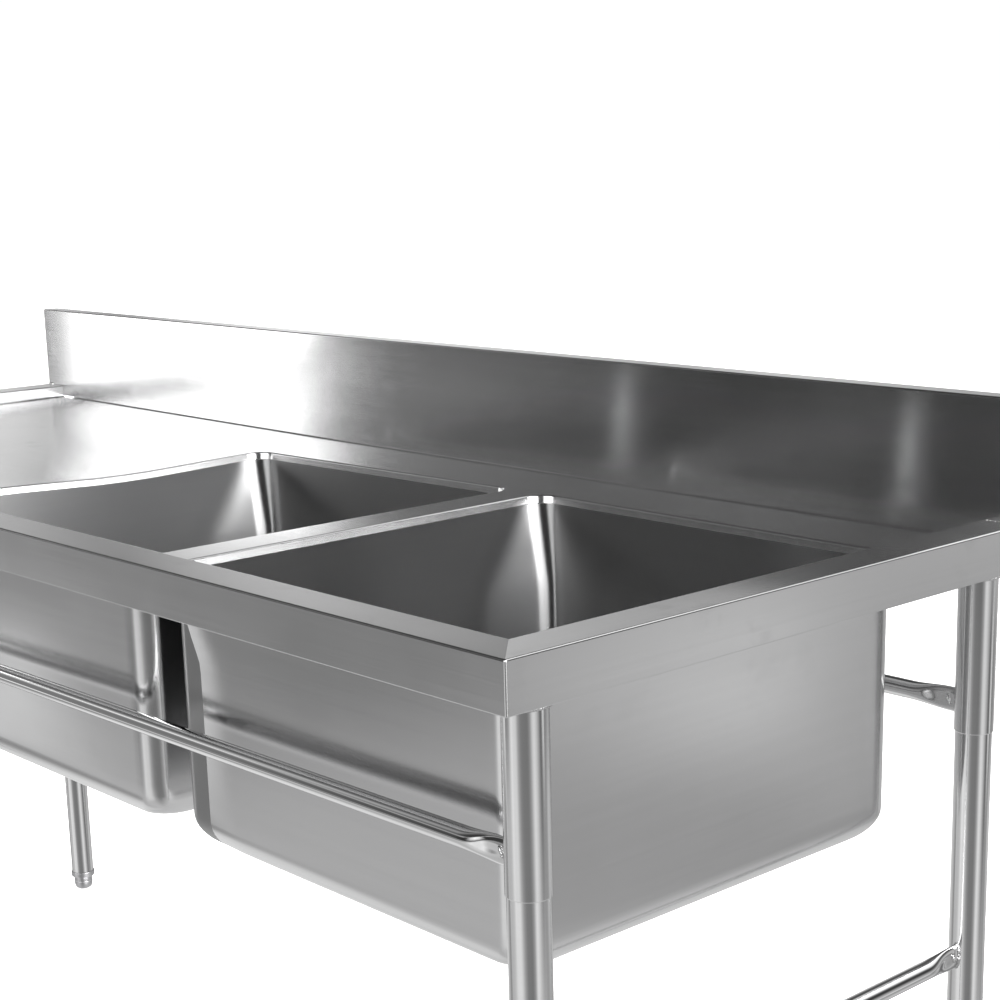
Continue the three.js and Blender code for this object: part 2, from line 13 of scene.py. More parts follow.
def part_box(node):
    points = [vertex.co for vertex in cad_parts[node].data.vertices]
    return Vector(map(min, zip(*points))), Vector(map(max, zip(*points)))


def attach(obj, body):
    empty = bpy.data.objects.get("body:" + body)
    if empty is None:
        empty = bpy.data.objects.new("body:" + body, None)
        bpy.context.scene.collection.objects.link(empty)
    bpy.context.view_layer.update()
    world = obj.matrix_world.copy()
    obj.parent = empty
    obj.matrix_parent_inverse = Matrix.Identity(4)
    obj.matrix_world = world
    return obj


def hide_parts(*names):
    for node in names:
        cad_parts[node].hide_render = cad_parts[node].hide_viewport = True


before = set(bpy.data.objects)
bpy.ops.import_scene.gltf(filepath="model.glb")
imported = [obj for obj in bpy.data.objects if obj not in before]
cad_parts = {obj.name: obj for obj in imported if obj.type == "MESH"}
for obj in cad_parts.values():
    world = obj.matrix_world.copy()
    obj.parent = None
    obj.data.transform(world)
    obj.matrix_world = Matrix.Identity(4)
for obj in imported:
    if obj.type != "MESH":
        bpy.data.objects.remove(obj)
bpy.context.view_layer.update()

ROOT = "sink_frame"
MM = 0.001                      # metres

# ==========================================================================================
# Sizes
# ==========================================================================================


def cad_box(node):
    low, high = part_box(node)
    return np.array(low) * 1000.0, np.array(high) * 1000.0


deck_low, deck_high = cad_box("deck_and_drainboard")
HALF_X = deck_high[0]
FRONT, WALL = deck_low[1], deck_high[1]
APRON, RIM = deck_low[2], deck_high[2]      # bottom of the apron, top of the rim
TOP = cad_box("backsplash")[1][2]
SHEET = 1.2                     # sheet thickness
RIM_WIDTH = 45.0
DECK = RIM - 21.0               # flat of the deck
SPLASH = WALL - 26.0            # front face of the backsplash
REAR_FLANGE = 30.0
COVE = 3.0                      # inside bend where the deck turns up into rim and backsplash
LIP = 2.6                       # bend where the deck turns down into a bowl
COLLAR = 9.0                    # depth of the turned-down lip
LEAN = 1.3                      # the collar leans into the bowl by this much
BOWL_CORNER, BOWL_BEND = 24.0, 31.0         # inside radii in plan and at the bottom


class Bowl:
    """Inside faces and centre of one bowl."""

    def __init__(self, side):
        low, high = cad_box("bowl_" + side)
        self.side = side
        self.x0, self.y0, self.floor = low + SHEET
        self.x1, self.y1 = high[:2] - SHEET
        self.x, self.y = (self.x0 + self.x1) / 2, (self.y0 + self.y1) / 2


BOWLS = RIGHT, LEFT = Bowl("right"), Bowl("left")

# y, depth of the drainboard dish there
DISH_Y, DISH_DEPTH = np.array([
    (FRONT + RIM_WIDTH, 0), (LEFT.y0, 0), (-150, 3.5), (-20, 10),
    (50, 10.5), (150, 7.5), (LEFT.y1, 6.0), (SPLASH, 0),
]).T
# x, share of the dish, drop of the undished deck below the rim
SLOPE_X, DISH_SHARE, DECK_DROP = np.array([
    (-HALF_X + RIM_WIDTH, 0.2, 17.5), (LEFT.x0, 1, 21), (LEFT.x1, 0, 21),
    (RIGHT.x0, 0, 21), (HALF_X - RIM_WIDTH, 0, 21),
]).T


def smoothed(at, offsets, stations, values):
    """Interpolated values averaged over the offsets, which rounds off the kinks."""
    return sum(np.interp(at + offset, stations, values) for offset in offsets) / len(offsets)


def deck_z(x, y):
    """Top of the deck sheet: flat round the right bowl, dished over the drainboard."""
    along = range(-36, 37, 18)
    share = smoothed(x, along, SLOPE_X, DISH_SHARE)
    drop = smoothed(x, along, SLOPE_X, DECK_DROP)
    edge = np.clip(np.minimum(y - DISH_Y[0], DISH_Y[-1] - y) / 26.0, 0, 1)
    dish = smoothed(y, [offset * edge for offset in range(-24, 25, 8)], DISH_Y, DISH_DEPTH)
    return RIM - drop - share * dish


# ==========================================================================================
# Outlines
# ==========================================================================================


def fillet(points, radii, seg=5):
    """Rounds the corners of a closed 2-D polygon; radii is one number or one per corner."""
    out, count = [], len(points)
    for i in range(count):
        corner = np.array(points[i], float)
        radius = radii if np.isscalar(radii) else radii[i]
        if radius <= 0:
            out.append(tuple(corner))
            continue
        back = np.array(points[i - 1], float) - corner
        ahead = np.array(points[(i + 1) % count], float) - corner
        back_length, ahead_length = np.linalg.norm(back), np.linalg.norm(ahead)
        back, ahead = back / back_length, ahead / ahead_length
        angle = math.acos(max(-1, min(1, float(back @ ahead))))
        if abs(math.pi - angle) < 1e-3:
            out.append(tuple(corner))
            continue
        reach = radius / math.tan(angle / 2)
        limit = 0.48 * min(back_length, ahead_length)
        if reach > limit:
            reach = limit
            radius = reach * math.tan(angle / 2)
        middle = back + ahead
        middle /= np.linalg.norm(middle)
        centre = corner + middle * (radius / math.sin(angle / 2))
        first = corner + back * reach - centre
        last = corner + ahead * reach - centre
        start = math.atan2(first[1], first[0])
        turn = math.atan2(last[1], last[0]) - start
        turn = (turn + math.pi) % (2 * math.pi) - math.pi
        for k in range(seg + 1):
            at = start + turn * k / seg
            out.append((centre[0] + radius * math.cos(at), centre[1] + radius * math.sin(at)))
    return out


def rounded(rows, seg=5, z=0.0):
    """Profile from rows of (distance out, height above z, corner radius)."""
    return fillet([(out, z + up) for out, up, _ in rows], [row[2] for row in rows], seg)


def rounded_rectangle(x0, x1, y0, y1, radius, seg=14, nx=16, ny=16):
    """Outline, counter-clockwise, with the straight sides divided."""
    r, out = radius, []
    for cx, cy, start, count, step in (
        (x1 - r, y1 - r, 0, nx, (-1, 0)), (x0 + r, y1 - r, 90, ny, (0, -1)),
        (x0 + r, y0 + r, 180, nx, (1, 0)), (x1 - r, y0 + r, 270, ny, (0, 1)),
    ):
        for i in range(seg + 1):
            angle = math.radians(start + 90 * i / seg)
            out.append((cx + r * math.cos(angle), cy + r * math.sin(angle)))
        length = (x1 - x0 - 2 * r) if step[0] else (y1 - y0 - 2 * r)
        px, py = out[-1]
        for i in range(1, count):
            out.append((px + step[0] * length * i / count, py + step[1] * length * i / count))
    return np.array(out)


def circle(x, y, radius, count):
    """Points round a centre; radius is a number or a function of the angle."""
    out = []
    for k in range(count):
        angle = 2 * math.pi * k / count
        r = radius(angle) if callable(radius) else radius
        out.append((x + r * math.cos(angle), y + r * math.sin(angle)))
    return out


def level(outline, z):
    """Lifts a plan outline to z, one height or one per point."""
    return [(x, y, up) for (x, y), up in zip(outline, np.broadcast_to(z, len(outline)))]


def hexagon_radius(angle, apothem):
    return apothem / math.cos((angle + math.pi / 6) % (math.pi / 3) - math.pi / 6)


def thread(radius, depth, turns):
    """Radius by angle of a thread section, at this many turns along the thread."""
    return lambda angle: radius - depth * abs(((turns - angle / (2 * math.pi)) % 1) * 2 - 1)


def ease(t):
    t = max(0.0, min(1.0, t))
    return t * t * (3 - 2 * t)


def wobble(a, b, seed):
    """Small smooth irregularity, the same on every run."""
    broad = math.sin(a * 1.7 + seed * 2.1) * math.cos(b * 1.3 + seed)
    return (broad + 0.5 * math.sin(a * 3.9 + b * 2.3 + seed * 0.7)) / 1.5


def add_loop(points, edges, loop):
    """Adds a closed outline to the input of triangulate."""
    first = len(points)
    points += [tuple(point) for point in loop]
    edges += [(first + i, first + (i + 1) % len(loop)) for i in range(len(loop))]


def triangulate(points, edges, tolerance):
    points = [Vector(point) for point in points]
    found, _, faces, *_ = geometry.delaunay_2d_cdt(points, edges, [], 0, tolerance)
    return np.array([(point[0], point[1]) for point in found]), faces


# ==========================================================================================
# Mesh making
# ==========================================================================================

WELD_SLOT = 1                   # material slot of the weld beads


class Part:
    """Vertices, faces and material slots gathered for one object."""

    def __init__(self):
        self.verts, self.faces, self.slots = [], [], []

    def add(self, verts, faces, slot=0):
        first = len(self.verts)
        self.verts += [tuple(map(float, point)) for point in verts]
        self.faces += [[i + first for i in face] for face in faces]
        self.slots += [slot] * len(faces)
        return self

    def loft(self, rings, caps=True, loop=False, slot=0):
        """Skin over rings of equal count; loop joins the last ring to the first."""
        n, count = len(rings[0]), len(rings)
        faces = []
        for k in range(count if loop else count - 1):
            a, b = k * n, ((k + 1) % count) * n
            for i in range(n):
                j = (i + 1) % n
                faces.append([a + i, a + j, b + j, b + i])
        if caps and not loop:
            faces.append(list(range(n))[::-1])
            faces.append([(count - 1) * n + i for i in range(n)])
        return self.add([point for ring in rings for point in ring], faces, slot)

    def lathe(self, profile, x, y, seg=96, closed=True):
        """Turns a profile of (radius, z) about the upright axis at x, y."""
        n = len(profile)
        verts, faces = [], []
        for j in range(seg):
            angle = 2 * math.pi * j / seg
            a, b = j * n, (j + 1) % seg * n
            for radius, z in profile:
                verts.append((x + radius * math.cos(angle), y + radius * math.sin(angle), z))
            for i in range(n if closed else n - 1):
                after = (i + 1) % n
                faces.append([a + i, b + i, b + after, a + after])
        return self.add(verts, faces)

    def slab(self, low, high, edge):
        """Sheet or bar between two corners, with its edges eased."""
        (xa, ya, za), (xb, yb, zb) = low, high
        r = min(edge, (xb - xa) * 0.45, (yb - ya) * 0.45, (zb - za) * 0.45)
        rings = []
        for inset, z in ((r, za), (r * 0.3, za + r * 0.3), (0, za + r),
                         (0, zb - r), (r * 0.3, zb - r * 0.3), (r, zb)):
            x0, x1, y0, y1 = xa + inset, xb - inset, ya + inset, yb - inset
            rings.append(level(fillet([(x0, y0), (x1, y0), (x1, y1), (x0, y1)], r, 3), z))
        return self.loft(rings)

    def bead(self, path, radius, pitch, seed, normal=(0, 0, 1)):
        """A weld bead: a ripply, slightly uneven rod along a path, with rounded ends."""
        path = np.array(path, float)
        along = np.r_[0, np.cumsum(np.linalg.norm(np.diff(path, axis=0), axis=1))]
        length = along[-1]
        count = max(6, int(length / 0.55))
        stations = np.linspace(0, length, count)
        points = np.stack([np.interp(stations, along, path[:, k]) for k in range(3)], 1)
        rings = []
        for i, at in enumerate(stations):
            tangent = points[min(i + 1, count - 1)] - points[max(i - 1, 0)]
            tangent /= np.linalg.norm(tangent) + 1e-9
            side = np.cross(tangent, normal)
            side /= np.linalg.norm(side) + 1e-9
            up = np.cross(side, tangent)
            end = min(at, length - at) / radius
            taper = math.sqrt(max(0.02, 1 - (1 - min(1, end)) ** 2))
            ripple = 0.16 * abs(math.sin(math.pi * at / pitch))
            r = radius * taper * (0.86 + ripple + 0.07 * wobble(at, seed, seed))
            centre = points[i] + 0.18 * radius * wobble(at * 0.8, 2.0, seed + 3) * side
            rings.append([centre + r * (math.cos(a) * side + math.sin(a) * up)
                          for a in np.linspace(0, 2 * math.pi, 10, endpoint=False)])
        return self.loft(rings, slot=WELD_SLOT)

    def build(self, name, materials, slot, cad=None, body=ROOT, angle=38, weighted=True):
        """Makes the object. Edges sharper than angle (degrees) stay sharp."""
        mesh = bpy.data.meshes.new(name)
        mesh.from_pydata([(x * MM, y * MM, z * MM) for x, y, z in self.verts], [], self.faces)
        mesh.polygons.foreach_set("material_index", self.slots)
        bm = bmesh.new()
        bm.from_mesh(mesh)
        bmesh.ops.remove_doubles(bm, verts=bm.verts, dist=2e-6)
        bmesh.ops.dissolve_degenerate(bm, edges=bm.edges, dist=1e-7)
        bmesh.ops.recalc_face_normals(bm, faces=bm.faces)
        bm.to_mesh(mesh)
        bm.free()
        for material in materials:
            mesh.materials.append(material)
        mesh.polygons.foreach_set("use_smooth", [True] * len(mesh.polygons))
        mesh.set_sharp_from_angle(angle=math.radians(angle))
        ob = bpy.data.objects.new(name, mesh)
        bpy.context.scene.collection.objects.link(ob)
        if weighted:
            modifier = ob.modifiers.new("even_faces", "WEIGHTED_NORMAL")
            modifier.keep_sharp = True
            modifier.weight = 60
        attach(ob, body)
        if cad:
            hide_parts(cad)
        return ob


# ==========================================================================================
# Materials
# ==========================================================================================


class Nodes:
    """Short ways to add nodes to a tree. Inputs may be sockets or plain values."""

    def __init__(self, tree):
        self.tree = tree

    def new(self, kind, **settings):
        node = self.tree.nodes.new(kind)
        for key, value in settings.items():
            setattr(node, key, value)
        return node

    def put(self, socket, value):
        if isinstance(value, bpy.types.NodeSocket):
            self.tree.links.new(value, socket)
        else:
            socket.default_value = value

    def fill(self, node, *values):
        for socket, value in zip(node.inputs, values):
            self.put(socket, value)
        return node.outputs[0]

    def math(self, operation, *values):
        return self.fill(self.new("ShaderNodeMath", operation=operation), *values)

    def vector_math(self, operation, *values):
        return self.fill(self.new("ShaderNodeVectorMath", operation=operation), *values)

    def add(self, a, b):
        return self.math("ADD", a, b)

    def times(self, a, b):
        return self.math("MULTIPLY", a, b)

    def swing(self, value, gain):
        """A 0..1 value turned into a swing about zero."""
        return self.times(self.math("SUBTRACT", value, 0.5), gain)

    def remap(self, value, low, high, to_low=0.0, to_high=1.0, smooth=False):
        node = self.new("ShaderNodeMapRange", clamp=True)
        if smooth:
            node.interpolation_type = "SMOOTHSTEP"
        return self.fill(node, value, low, high, to_low, to_high)

    def noise(self, vector, scale, detail, rough):
        node = self.new("ShaderNodeTexNoise")
        for key, value in (("Scale", scale), ("Detail", detail),
                           ("Roughness", rough), ("Vector", vector)):
            self.put(node.inputs[key], value)
        return node.outputs["Fac"]

    def mix_vector(self, factor, a, b):
        node = self.new("ShaderNodeMix", data_type="VECTOR")
        for i, value in ((0, factor), (4, a), (5, b)):
            self.put(node.inputs[i], value)
        return node.outputs[1]

    def split(self, vector):
        node = self.new("ShaderNodeSeparateXYZ")
        self.put(node.inputs[0], vector)
        return node.outputs

    def color(self, channels):
        return self.fill(self.new("ShaderNodeCombineColor"), *channels)

    def bump(self, height, strength, distance, normal=None):
        """distance is in metres."""
        node = self.new("ShaderNodeBump")
        node.inputs["Strength"].default_value = strength
        node.inputs["Distance"].default_value = distance
        self.put(node.inputs["Height"], height)
        if normal is not None:
            self.put(node.inputs["Normal"], normal)
        return node.outputs[0]

    def place(self):
        return self.new("ShaderNodeTexCoord").outputs["Object"]


def new_material(name):
    material = bpy.data.materials.new(name)
    material.use_nodes = True
    nodes = Nodes(material.node_tree)
    principled = next(n for n in nodes.tree.nodes if n.type == "BSDF_PRINCIPLED")
    return material, nodes, principled.inputs


GRAIN = 700.0                   # noise cells per metre across the brushing
# Belt-finished tubes, fine rings round the axis: noise scale on X, Y, Z and the tangent
TUBE_BRUSH = {
    "tube_x": ((1200.0, 60.0, 60.0), (1, 0, 0)),
    "tube_y": ((60.0, 1200.0, 60.0), (0, 1, 0)),
    "tube_z": ((60.0, 60.0, 1200.0), (0, 0, 1)),
}


def brushing(g, place, brush):
    """Noise scale on each axis and the tangent, which is None where there is no grain."""
    if brush in TUBE_BRUSH:
        return TUBE_BRUSH[brush]
    if brush == "none":
        return (GRAIN, GRAIN, GRAIN), None
    normal = g.new("ShaderNodeNewGeometry").outputs["Normal"]
    if brush == "x":
        return (5.0, GRAIN, GRAIN), g.vector_math("CROSS_PRODUCT", normal, (1, 0, 0))
    if brush == "deck":         # along X, but along Y on the two side rims
        x, y, _ = g.split(place)
        from_side = g.math("SUBTRACT", HALF_X * MM, g.math("ABSOLUTE", x))
        from_front = g.math("SUBTRACT", y, FRONT * MM)
        reach = g.math("MINIMUM", from_front, RIM_WIDTH * MM + 0.0003)
        side = g.math("LESS_THAN", from_side, reach)
        stretch = g.mix_vector(side, (5.0, GRAIN, GRAIN), (GRAIN, 5.0, GRAIN))
        along = g.mix_vector(side, (1, 0, 0), (0, 1, 0))
        return stretch, g.vector_math("CROSS_PRODUCT", normal, along)
    # "bowl": the tangent runs up the walls, and front to back on the floor
    nx, ny, nz = (g.math("ABSOLUTE", part) for part in g.split(normal))
    flat = g.math("GREATER_THAN", nz, 0.8)
    sideways = g.math("GREATER_THAN", nx, ny)
    stretch = g.mix_vector(sideways, (9.0, GRAIN, GRAIN), (GRAIN, 9.0, GRAIN))
    return stretch, g.mix_vector(flat, (0, 0, 1), (0, 1, 0))


def steel(name, level, rough, aniso=0.0, brush="none", lines=0.02, cloud=0.02, smudge=0.02,
          bump=0.02, tint=(1.0, 1.0, 1.004), ripple=0.0):
    """Steel with grain lines, faint cloudiness and hand marks.

    level is the base brightness; lines, cloud and smudge are the strengths of each marking in
    colour and roughness; ripple (mm) is how far pressed sheet waves.
    """
    material, g, inputs = new_material(name)
    place = g.place()
    stretch, tangent = brushing(g, place, brush)
    grain = g.vector_math("MULTIPLY", place, stretch)
    fine = g.noise(grain, scale=1.0, detail=3.0, rough=0.6)
    wide = g.noise(g.vector_math("MULTIPLY", grain, (0.17, 0.17, 0.17)),
                   scale=1.0, detail=2.0, rough=0.5)
    clouds = g.noise(place, scale=7.0, detail=3.0, rough=0.55)
    smudges = g.remap(g.noise(place, scale=19.0, detail=4.0, rough=0.62), 0.56, 0.74,
                      smooth=True)
    spots = g.remap(g.noise(place, scale=160.0, detail=2.0, rough=0.5), 0.70, 0.80)

    tone = g.add(g.swing(fine, lines * 1.3), g.swing(wide, lines * 1.6))
    tone = g.add(tone, g.swing(clouds, cloud * 1.6))
    tone = g.math("SUBTRACT", tone, g.times(smudges, smudge * 0.5))
    tone = g.times(g.add(tone, 1.0), level)
    g.put(inputs["Base Color"], g.color([g.times(tone, share) for share in tint]))
    inputs["Metallic"].default_value = 1.0

    roughness = g.add(g.swing(fine, lines * 1.2), rough)
    roughness = g.add(roughness, g.swing(clouds, cloud * 1.5))
    roughness = g.add(roughness, g.times(smudges, smudge))
    roughness = g.add(roughness, g.times(spots, smudge * 0.6))
    g.put(inputs["Roughness"], roughness)
    inputs["Anisotropic"].default_value = aniso
    if tangent is not None:
        g.put(inputs["Tangent"], tangent)

    normal = g.bump(g.add(fine, g.times(wide, 1.5)), strength=bump, distance=0.000012)
    if ripple:
        waves = g.noise(place, scale=4.5, detail=1.0, rough=0.4)
        normal = g.bump(waves, strength=1.0, distance=ripple * MM, normal=normal)
    g.put(inputs["Normal"], normal)
    return material


def dull(name, color, rough, grain, bump, specular):
    """Rubber or plastic with a fine grain (cells per metre) and slight mottling."""
    material, g, inputs = new_material(name)
    place = g.place()
    fine = g.noise(place, scale=grain, detail=4.0, rough=0.6)
    mottle = g.remap(g.noise(place, scale=grain * 0.08, detail=2.0, rough=0.5),
                     0.3, 0.7, 0.85, 1.15)
    g.put(inputs["Base Color"], g.color([g.times(mottle, channel) for channel in color]))
    g.put(inputs["Roughness"], g.remap(fine, 0.3, 0.7, rough - 0.07, rough + 0.07))
    inputs["Metallic"].default_value = 0.0
    inputs["Specular IOR Level"].default_value = specular
    g.put(inputs["Normal"], g.bump(fine, strength=bump, distance=0.00012))
    return material


TOP_STEEL = steel("steel_top_brushed", level=0.62, rough=0.18, aniso=0.65, brush="deck",
                  lines=0.05, cloud=0.05, smudge=0.03, bump=0.06)
# Darker copy of the top steel, painted shade for the top fold of the front rim
FOLD_SHADE_STEEL = steel("steel_fold_shadow", level=0.30, rough=0.22, aniso=0.3, brush="deck",
                   lines=0.03, cloud=0.03, bump=0.03)
SPLASH_STEEL = steel("steel_backsplash_brushed", level=0.60, rough=0.17, aniso=0.9, brush="x",
                     lines=0.05, cloud=0.05, smudge=0.04, bump=0.05)
# Inside of the bowls: the same steel as the outside but with a much lower level, painted shade
# for the deep bowl; the strong brushing and roughness are real
BOWL_INSIDE_PAINTED_SHADE = steel("steel_bowl_brushed_inside_painted_shade", level=0.38, rough=0.31, aniso=1.0,
                    brush="bowl", cloud=0.03)
BOWL_OUTSIDE = steel("steel_bowl_drawn_outside", level=0.62, rough=0.18, aniso=0.35,
                     brush="bowl", lines=0.03, cloud=0.03, smudge=0.012, bump=0.03, ripple=0.4)
SOCKET_STEEL = steel("steel_tube_satin", level=0.66, rough=0.13, aniso=0.55, brush="tube_z")
LEG_STEEL = steel("steel_leg_satin", level=0.68, rough=0.11, aniso=0.55, brush="tube_z")
BRACE_X, BRACE_Y = (
    steel(name, level=0.70, rough=0.07, aniso=0.3, brush=brush,
          lines=0.01, cloud=0.015, smudge=0.015)
    for name, brush in (("steel_brace_polished", "tube_x"),
                        ("steel_side_brace_polished", "tube_y")))
WELD = steel("weld_metal", level=0.48, rough=0.25, lines=0.10, cloud=0.10, smudge=0.12, bump=0.8)
CHROME = steel("chrome_bright", level=0.70, rough=0.06, lines=0.01, bump=0.05)
PLATED = steel("zinc_plated", level=0.52, rough=0.33, lines=0.05, cloud=0.08, smudge=0.06,
               bump=0.3, tint=(1.0, 1.0, 1.02))
RUBBER = dull("rubber_black", color=(0.022, 0.022, 0.024), rough=0.62, grain=900, bump=0.5,
              specular=0.35)
PLASTIC = dull("plastic_grey", color=(0.30, 0.31, 0.32), rough=0.5, grain=700, bump=0.3,
               specular=0.5)

# ==========================================================================================
# Deck: dished sheet, cove up to rim and backsplash, lips down into the bowls, folded rim
# ==========================================================================================

INSET = RIM_WIDTH - 0.3         # the cove ends just inside the rim's inner face
X0, X1, Y0, Y1 = -HALF_X + INSET, HALF_X - INSET, FRONT + INSET, SPLASH + 0.3
RIM_CORNER = 2.0                # outer corner in plan
CORNER_STEPS = 6


def deck_outline(inset):
    """Deck edge, finely divided, counter-clockwise from the front left."""
    x0, x1, y0, y1 = X0 + inset, X1 - inset, Y0 + inset, Y1 - inset
    nx, ny = 90, 32
    front = [(x0 + (x1 - x0) * i / nx, y0) for i in range(nx)]
    right = [(x1, y0 + (y1 - y0) * i / ny) for i in range(ny)]
    back = [(x1 - (x1 - x0) * i / nx, y1) for i in range(nx)]
    left = [(x0, y1 - (y1 - y0) * i / ny) for i in range(ny)]
    return np.array(front + right + back + left)


def lip_outline(b, outset):
    return rounded_rectangle(b.x0 - outset, b.x1 + outset, b.y0 - outset, b.y1 + outset,
                             BOWL_CORNER + outset)


def near_bowl(x, y, margin):
    return any(b.x0 - margin < x < b.x1 + margin and b.y0 - margin < y < b.y1 + margin
               for b in BOWLS)


def in_opening(x, y):
    """Whether a point lies within a bowl opening, out to the start of its lip."""
    r = BOWL_CORNER + LIP
    for b in BOWLS:
        if b.x0 - LIP < x < b.x1 + LIP and b.y0 - LIP < y < b.y1 + LIP:
            dx = max(b.x0 - LIP + r - x, x - (b.x1 + LIP - r), 0)
            dy = max(b.y0 - LIP + r - y, y - (b.y1 + LIP - r), 0)
            if dx * dx + dy * dy <= (r - 0.02) ** 2 or dx == 0 or dy == 0:
                return True
    return False


def add_deck_sheet(deck):
    points, edges = [], []
    for loop in [deck_outline(COVE)] + [lip_outline(bowl, LIP) for bowl in BOWLS]:
        add_loop(points, edges, loop)
    for x in np.arange(X0 + 16, X1 - 8, 17.3):
        for y in np.arange(Y0 + 14, Y1 - 8, 16.1):
            if not near_bowl(x, y, 12):
                points.append((float(x), float(y)))
    plan, faces = triangulate(points, edges, 1e-5)
    faces = [face for face in faces if not in_opening(*plan[list(face)].mean(0))]
    z = deck_z(plan[:, 0], plan[:, 1])
    used = sorted({i for face in faces for i in face})
    index = {old: new for new, old in enumerate(used)}
    upward = []
    for face in faces:
        a, b, c = (plan[i] for i in face)
        turn = (b[0] - a[0]) * (c[1] - a[1]) - (b[1] - a[1]) * (c[0] - a[0])
        upward.append([index[i] for i in (face if turn > 0 else face[::-1])])
    deck.add([(*plan[i], z[i]) for i in used], upward)
    deck.add([(*plan[i], z[i] - SHEET) for i in used], [face[::-1] for face in upward])


def add_cove(deck):
    base = deck_outline(COVE)
    z = deck_z(base[:, 0], base[:, 1])
    rings = []
    for a in np.radians(np.linspace(0, 90, 8)):
        outline = deck_outline(COVE * (1 - math.sin(a)))
        rings.append(level(outline, z + COVE * (1 - math.cos(a))))
    rings += [level(deck_outline(0), z - SHEET), level(base, z - SHEET)]
    deck.loft(rings, caps=False)


def add_lip(deck, bowl):
    base = lip_outline(bowl, LIP)
    z = deck_z(base[:, 0], base[:, 1])
    under = LIP - SHEET         # bend radius of the underside
    # outset from the bowl, height above the deck
    path = [(LIP * (1 - math.sin(a)), -LIP * (1 - math.cos(a)))
            for a in np.radians(np.linspace(0, 90, 7))]
    path += [(-LEAN * 0.5, -(LIP + COLLAR) / 2), (-LEAN, -COLLAR + 0.4),
             (-LEAN + 0.3, -COLLAR), (-LEAN + SHEET, -COLLAR), (SHEET, -LIP)]
    path += [(LIP - under * math.sin(a), -LIP + under * math.cos(a))
             for a in np.radians(np.linspace(75, 0, 5))]
    deck.loft([level(lip_outline(bowl, outset), z + up) for outset, up in path], caps=False)


def rim_corner(profile, side):
    """Rings round a front corner; side is -1 on the left and 1 on the right."""
    rings = []
    for a in np.radians(np.linspace(-90, 0, CORNER_STEPS))[::side]:
        ring = []
        for inset, z in profile:
            r = max(RIM_CORNER - inset, 0)
            plan_inset = max(RIM_CORNER, inset)
            ring.append((side * (HALF_X - plan_inset + r * math.cos(a)),
                         FRONT + plan_inset + r * math.sin(a), z))
        rings.append(ring)
    return rings


def add_rim(deck):
    """Rim, apron and hem: one folded profile round three sides."""
    inner, hem = RIM_WIDTH - SHEET, 2 * SHEET + 0.1
    # inset from the outer face, z, bend radius
    profile = rounded([
        (0, APRON, 1.2), (0, RIM, 1.9), (RIM_WIDTH, RIM, 1.9), (RIM_WIDTH, DECK - 3, 0.2),
        (inner, DECK - 3, 0.2), (inner, RIM - SHEET, 0.8), (SHEET, RIM - SHEET, 0.8),
        (SHEET, APRON + 12, 0.0), (hem, APRON + 12, 0.4), (hem, APRON, 1.2),
    ])
    left_end, right_end = (
        [(side * (HALF_X - inset), SPLASH - 0.3, z) for inset, z in profile]
        for side in (-1, 1))
    first = len(deck.faces)
    deck.loft([left_end] + rim_corner(profile, -1) + rim_corner(profile, 1) + [right_end])
    # the top fold of the long front run takes the darker steel, painted shade along the fold
    fold = [i for i, (inset, z) in enumerate(profile) if inset < 1.95 and z > RIM - 1.95]
    for i in fold[:-1]:
        deck.slots[first + CORNER_STEPS * len(profile) + i] = 2


def build_deck():
    deck = Part()
    add_deck_sheet(deck)
    add_cove(deck)
    for bowl in BOWLS:
        add_lip(deck, bowl)
    add_rim(deck)
    for side in (-1, 1):        # end plates beside the backsplash
        x0, x1 = sorted((side * HALF_X, side * (HALF_X - SHEET)))
        deck.slab((x0, SPLASH - 0.35, APRON), (x1, WALL, RIM), 0.3)
    for side in (-1, 1):        # weld where each rim top meets the backsplash
        deck.bead([(side * (HALF_X - RIM_WIDTH + 3), SPLASH - 0.6, RIM - 0.1),
                   (side * (HALF_X - 14), SPLASH - 0.5, RIM - 0.1)],
                  radius=1.0, pitch=3.1, seed=5 + side)
        deck.bead([(side * (HALF_X - 15), SPLASH - 1.0, RIM + 0.1),
                   (side * (HALF_X - 1.6), SPLASH - 1.1, RIM + 0.2)],
                  radius=2.3, pitch=2.6, seed=8 + side)
    deck.build("deck_sheet_and_rim", [TOP_STEEL, WELD, FOLD_SHADE_STEEL], "satin_steel_top",
               "deck_and_drainboard", angle=35)


build_deck()

# ==========================================================================================
# Backsplash and its end caps
# ==========================================================================================


def splash_profile(bottom):
    flange = TOP - REAR_FLANGE
    # y, z, bend radius
    return rounded([
        (SPLASH, bottom, 0.2), (SPLASH, TOP, 2.0), (WALL, TOP, 2.0), (WALL, flange, 0.4),
        (WALL - SHEET, flange, 0.4), (WALL - SHEET, TOP - SHEET, 0.9),
        (SPLASH + SHEET, TOP - SHEET, 0.9), (SPLASH + SHEET, bottom, 0.2),
    ])


def build_backsplash():
    """The sheet reaches below the deck, but stops above the rim at its two ends."""
    full, short = splash_profile(DECK - 2.0), splash_profile(RIM + 0.3)
    step_x = HALF_X - SHEET - 0.3
    stations = [(-HALF_X, short), (-step_x, short), (-step_x + 0.01, full), (0, full),
                (step_x - 0.01, full), (step_x, short), (HALF_X, short)]
    rings = [[(x, y, z) for y, z in profile] for x, profile in stations]
    Part().loft(rings).build("backsplash_sheet", [SPLASH_STEEL], "satin_steel_top",
                             "backsplash", angle=35)


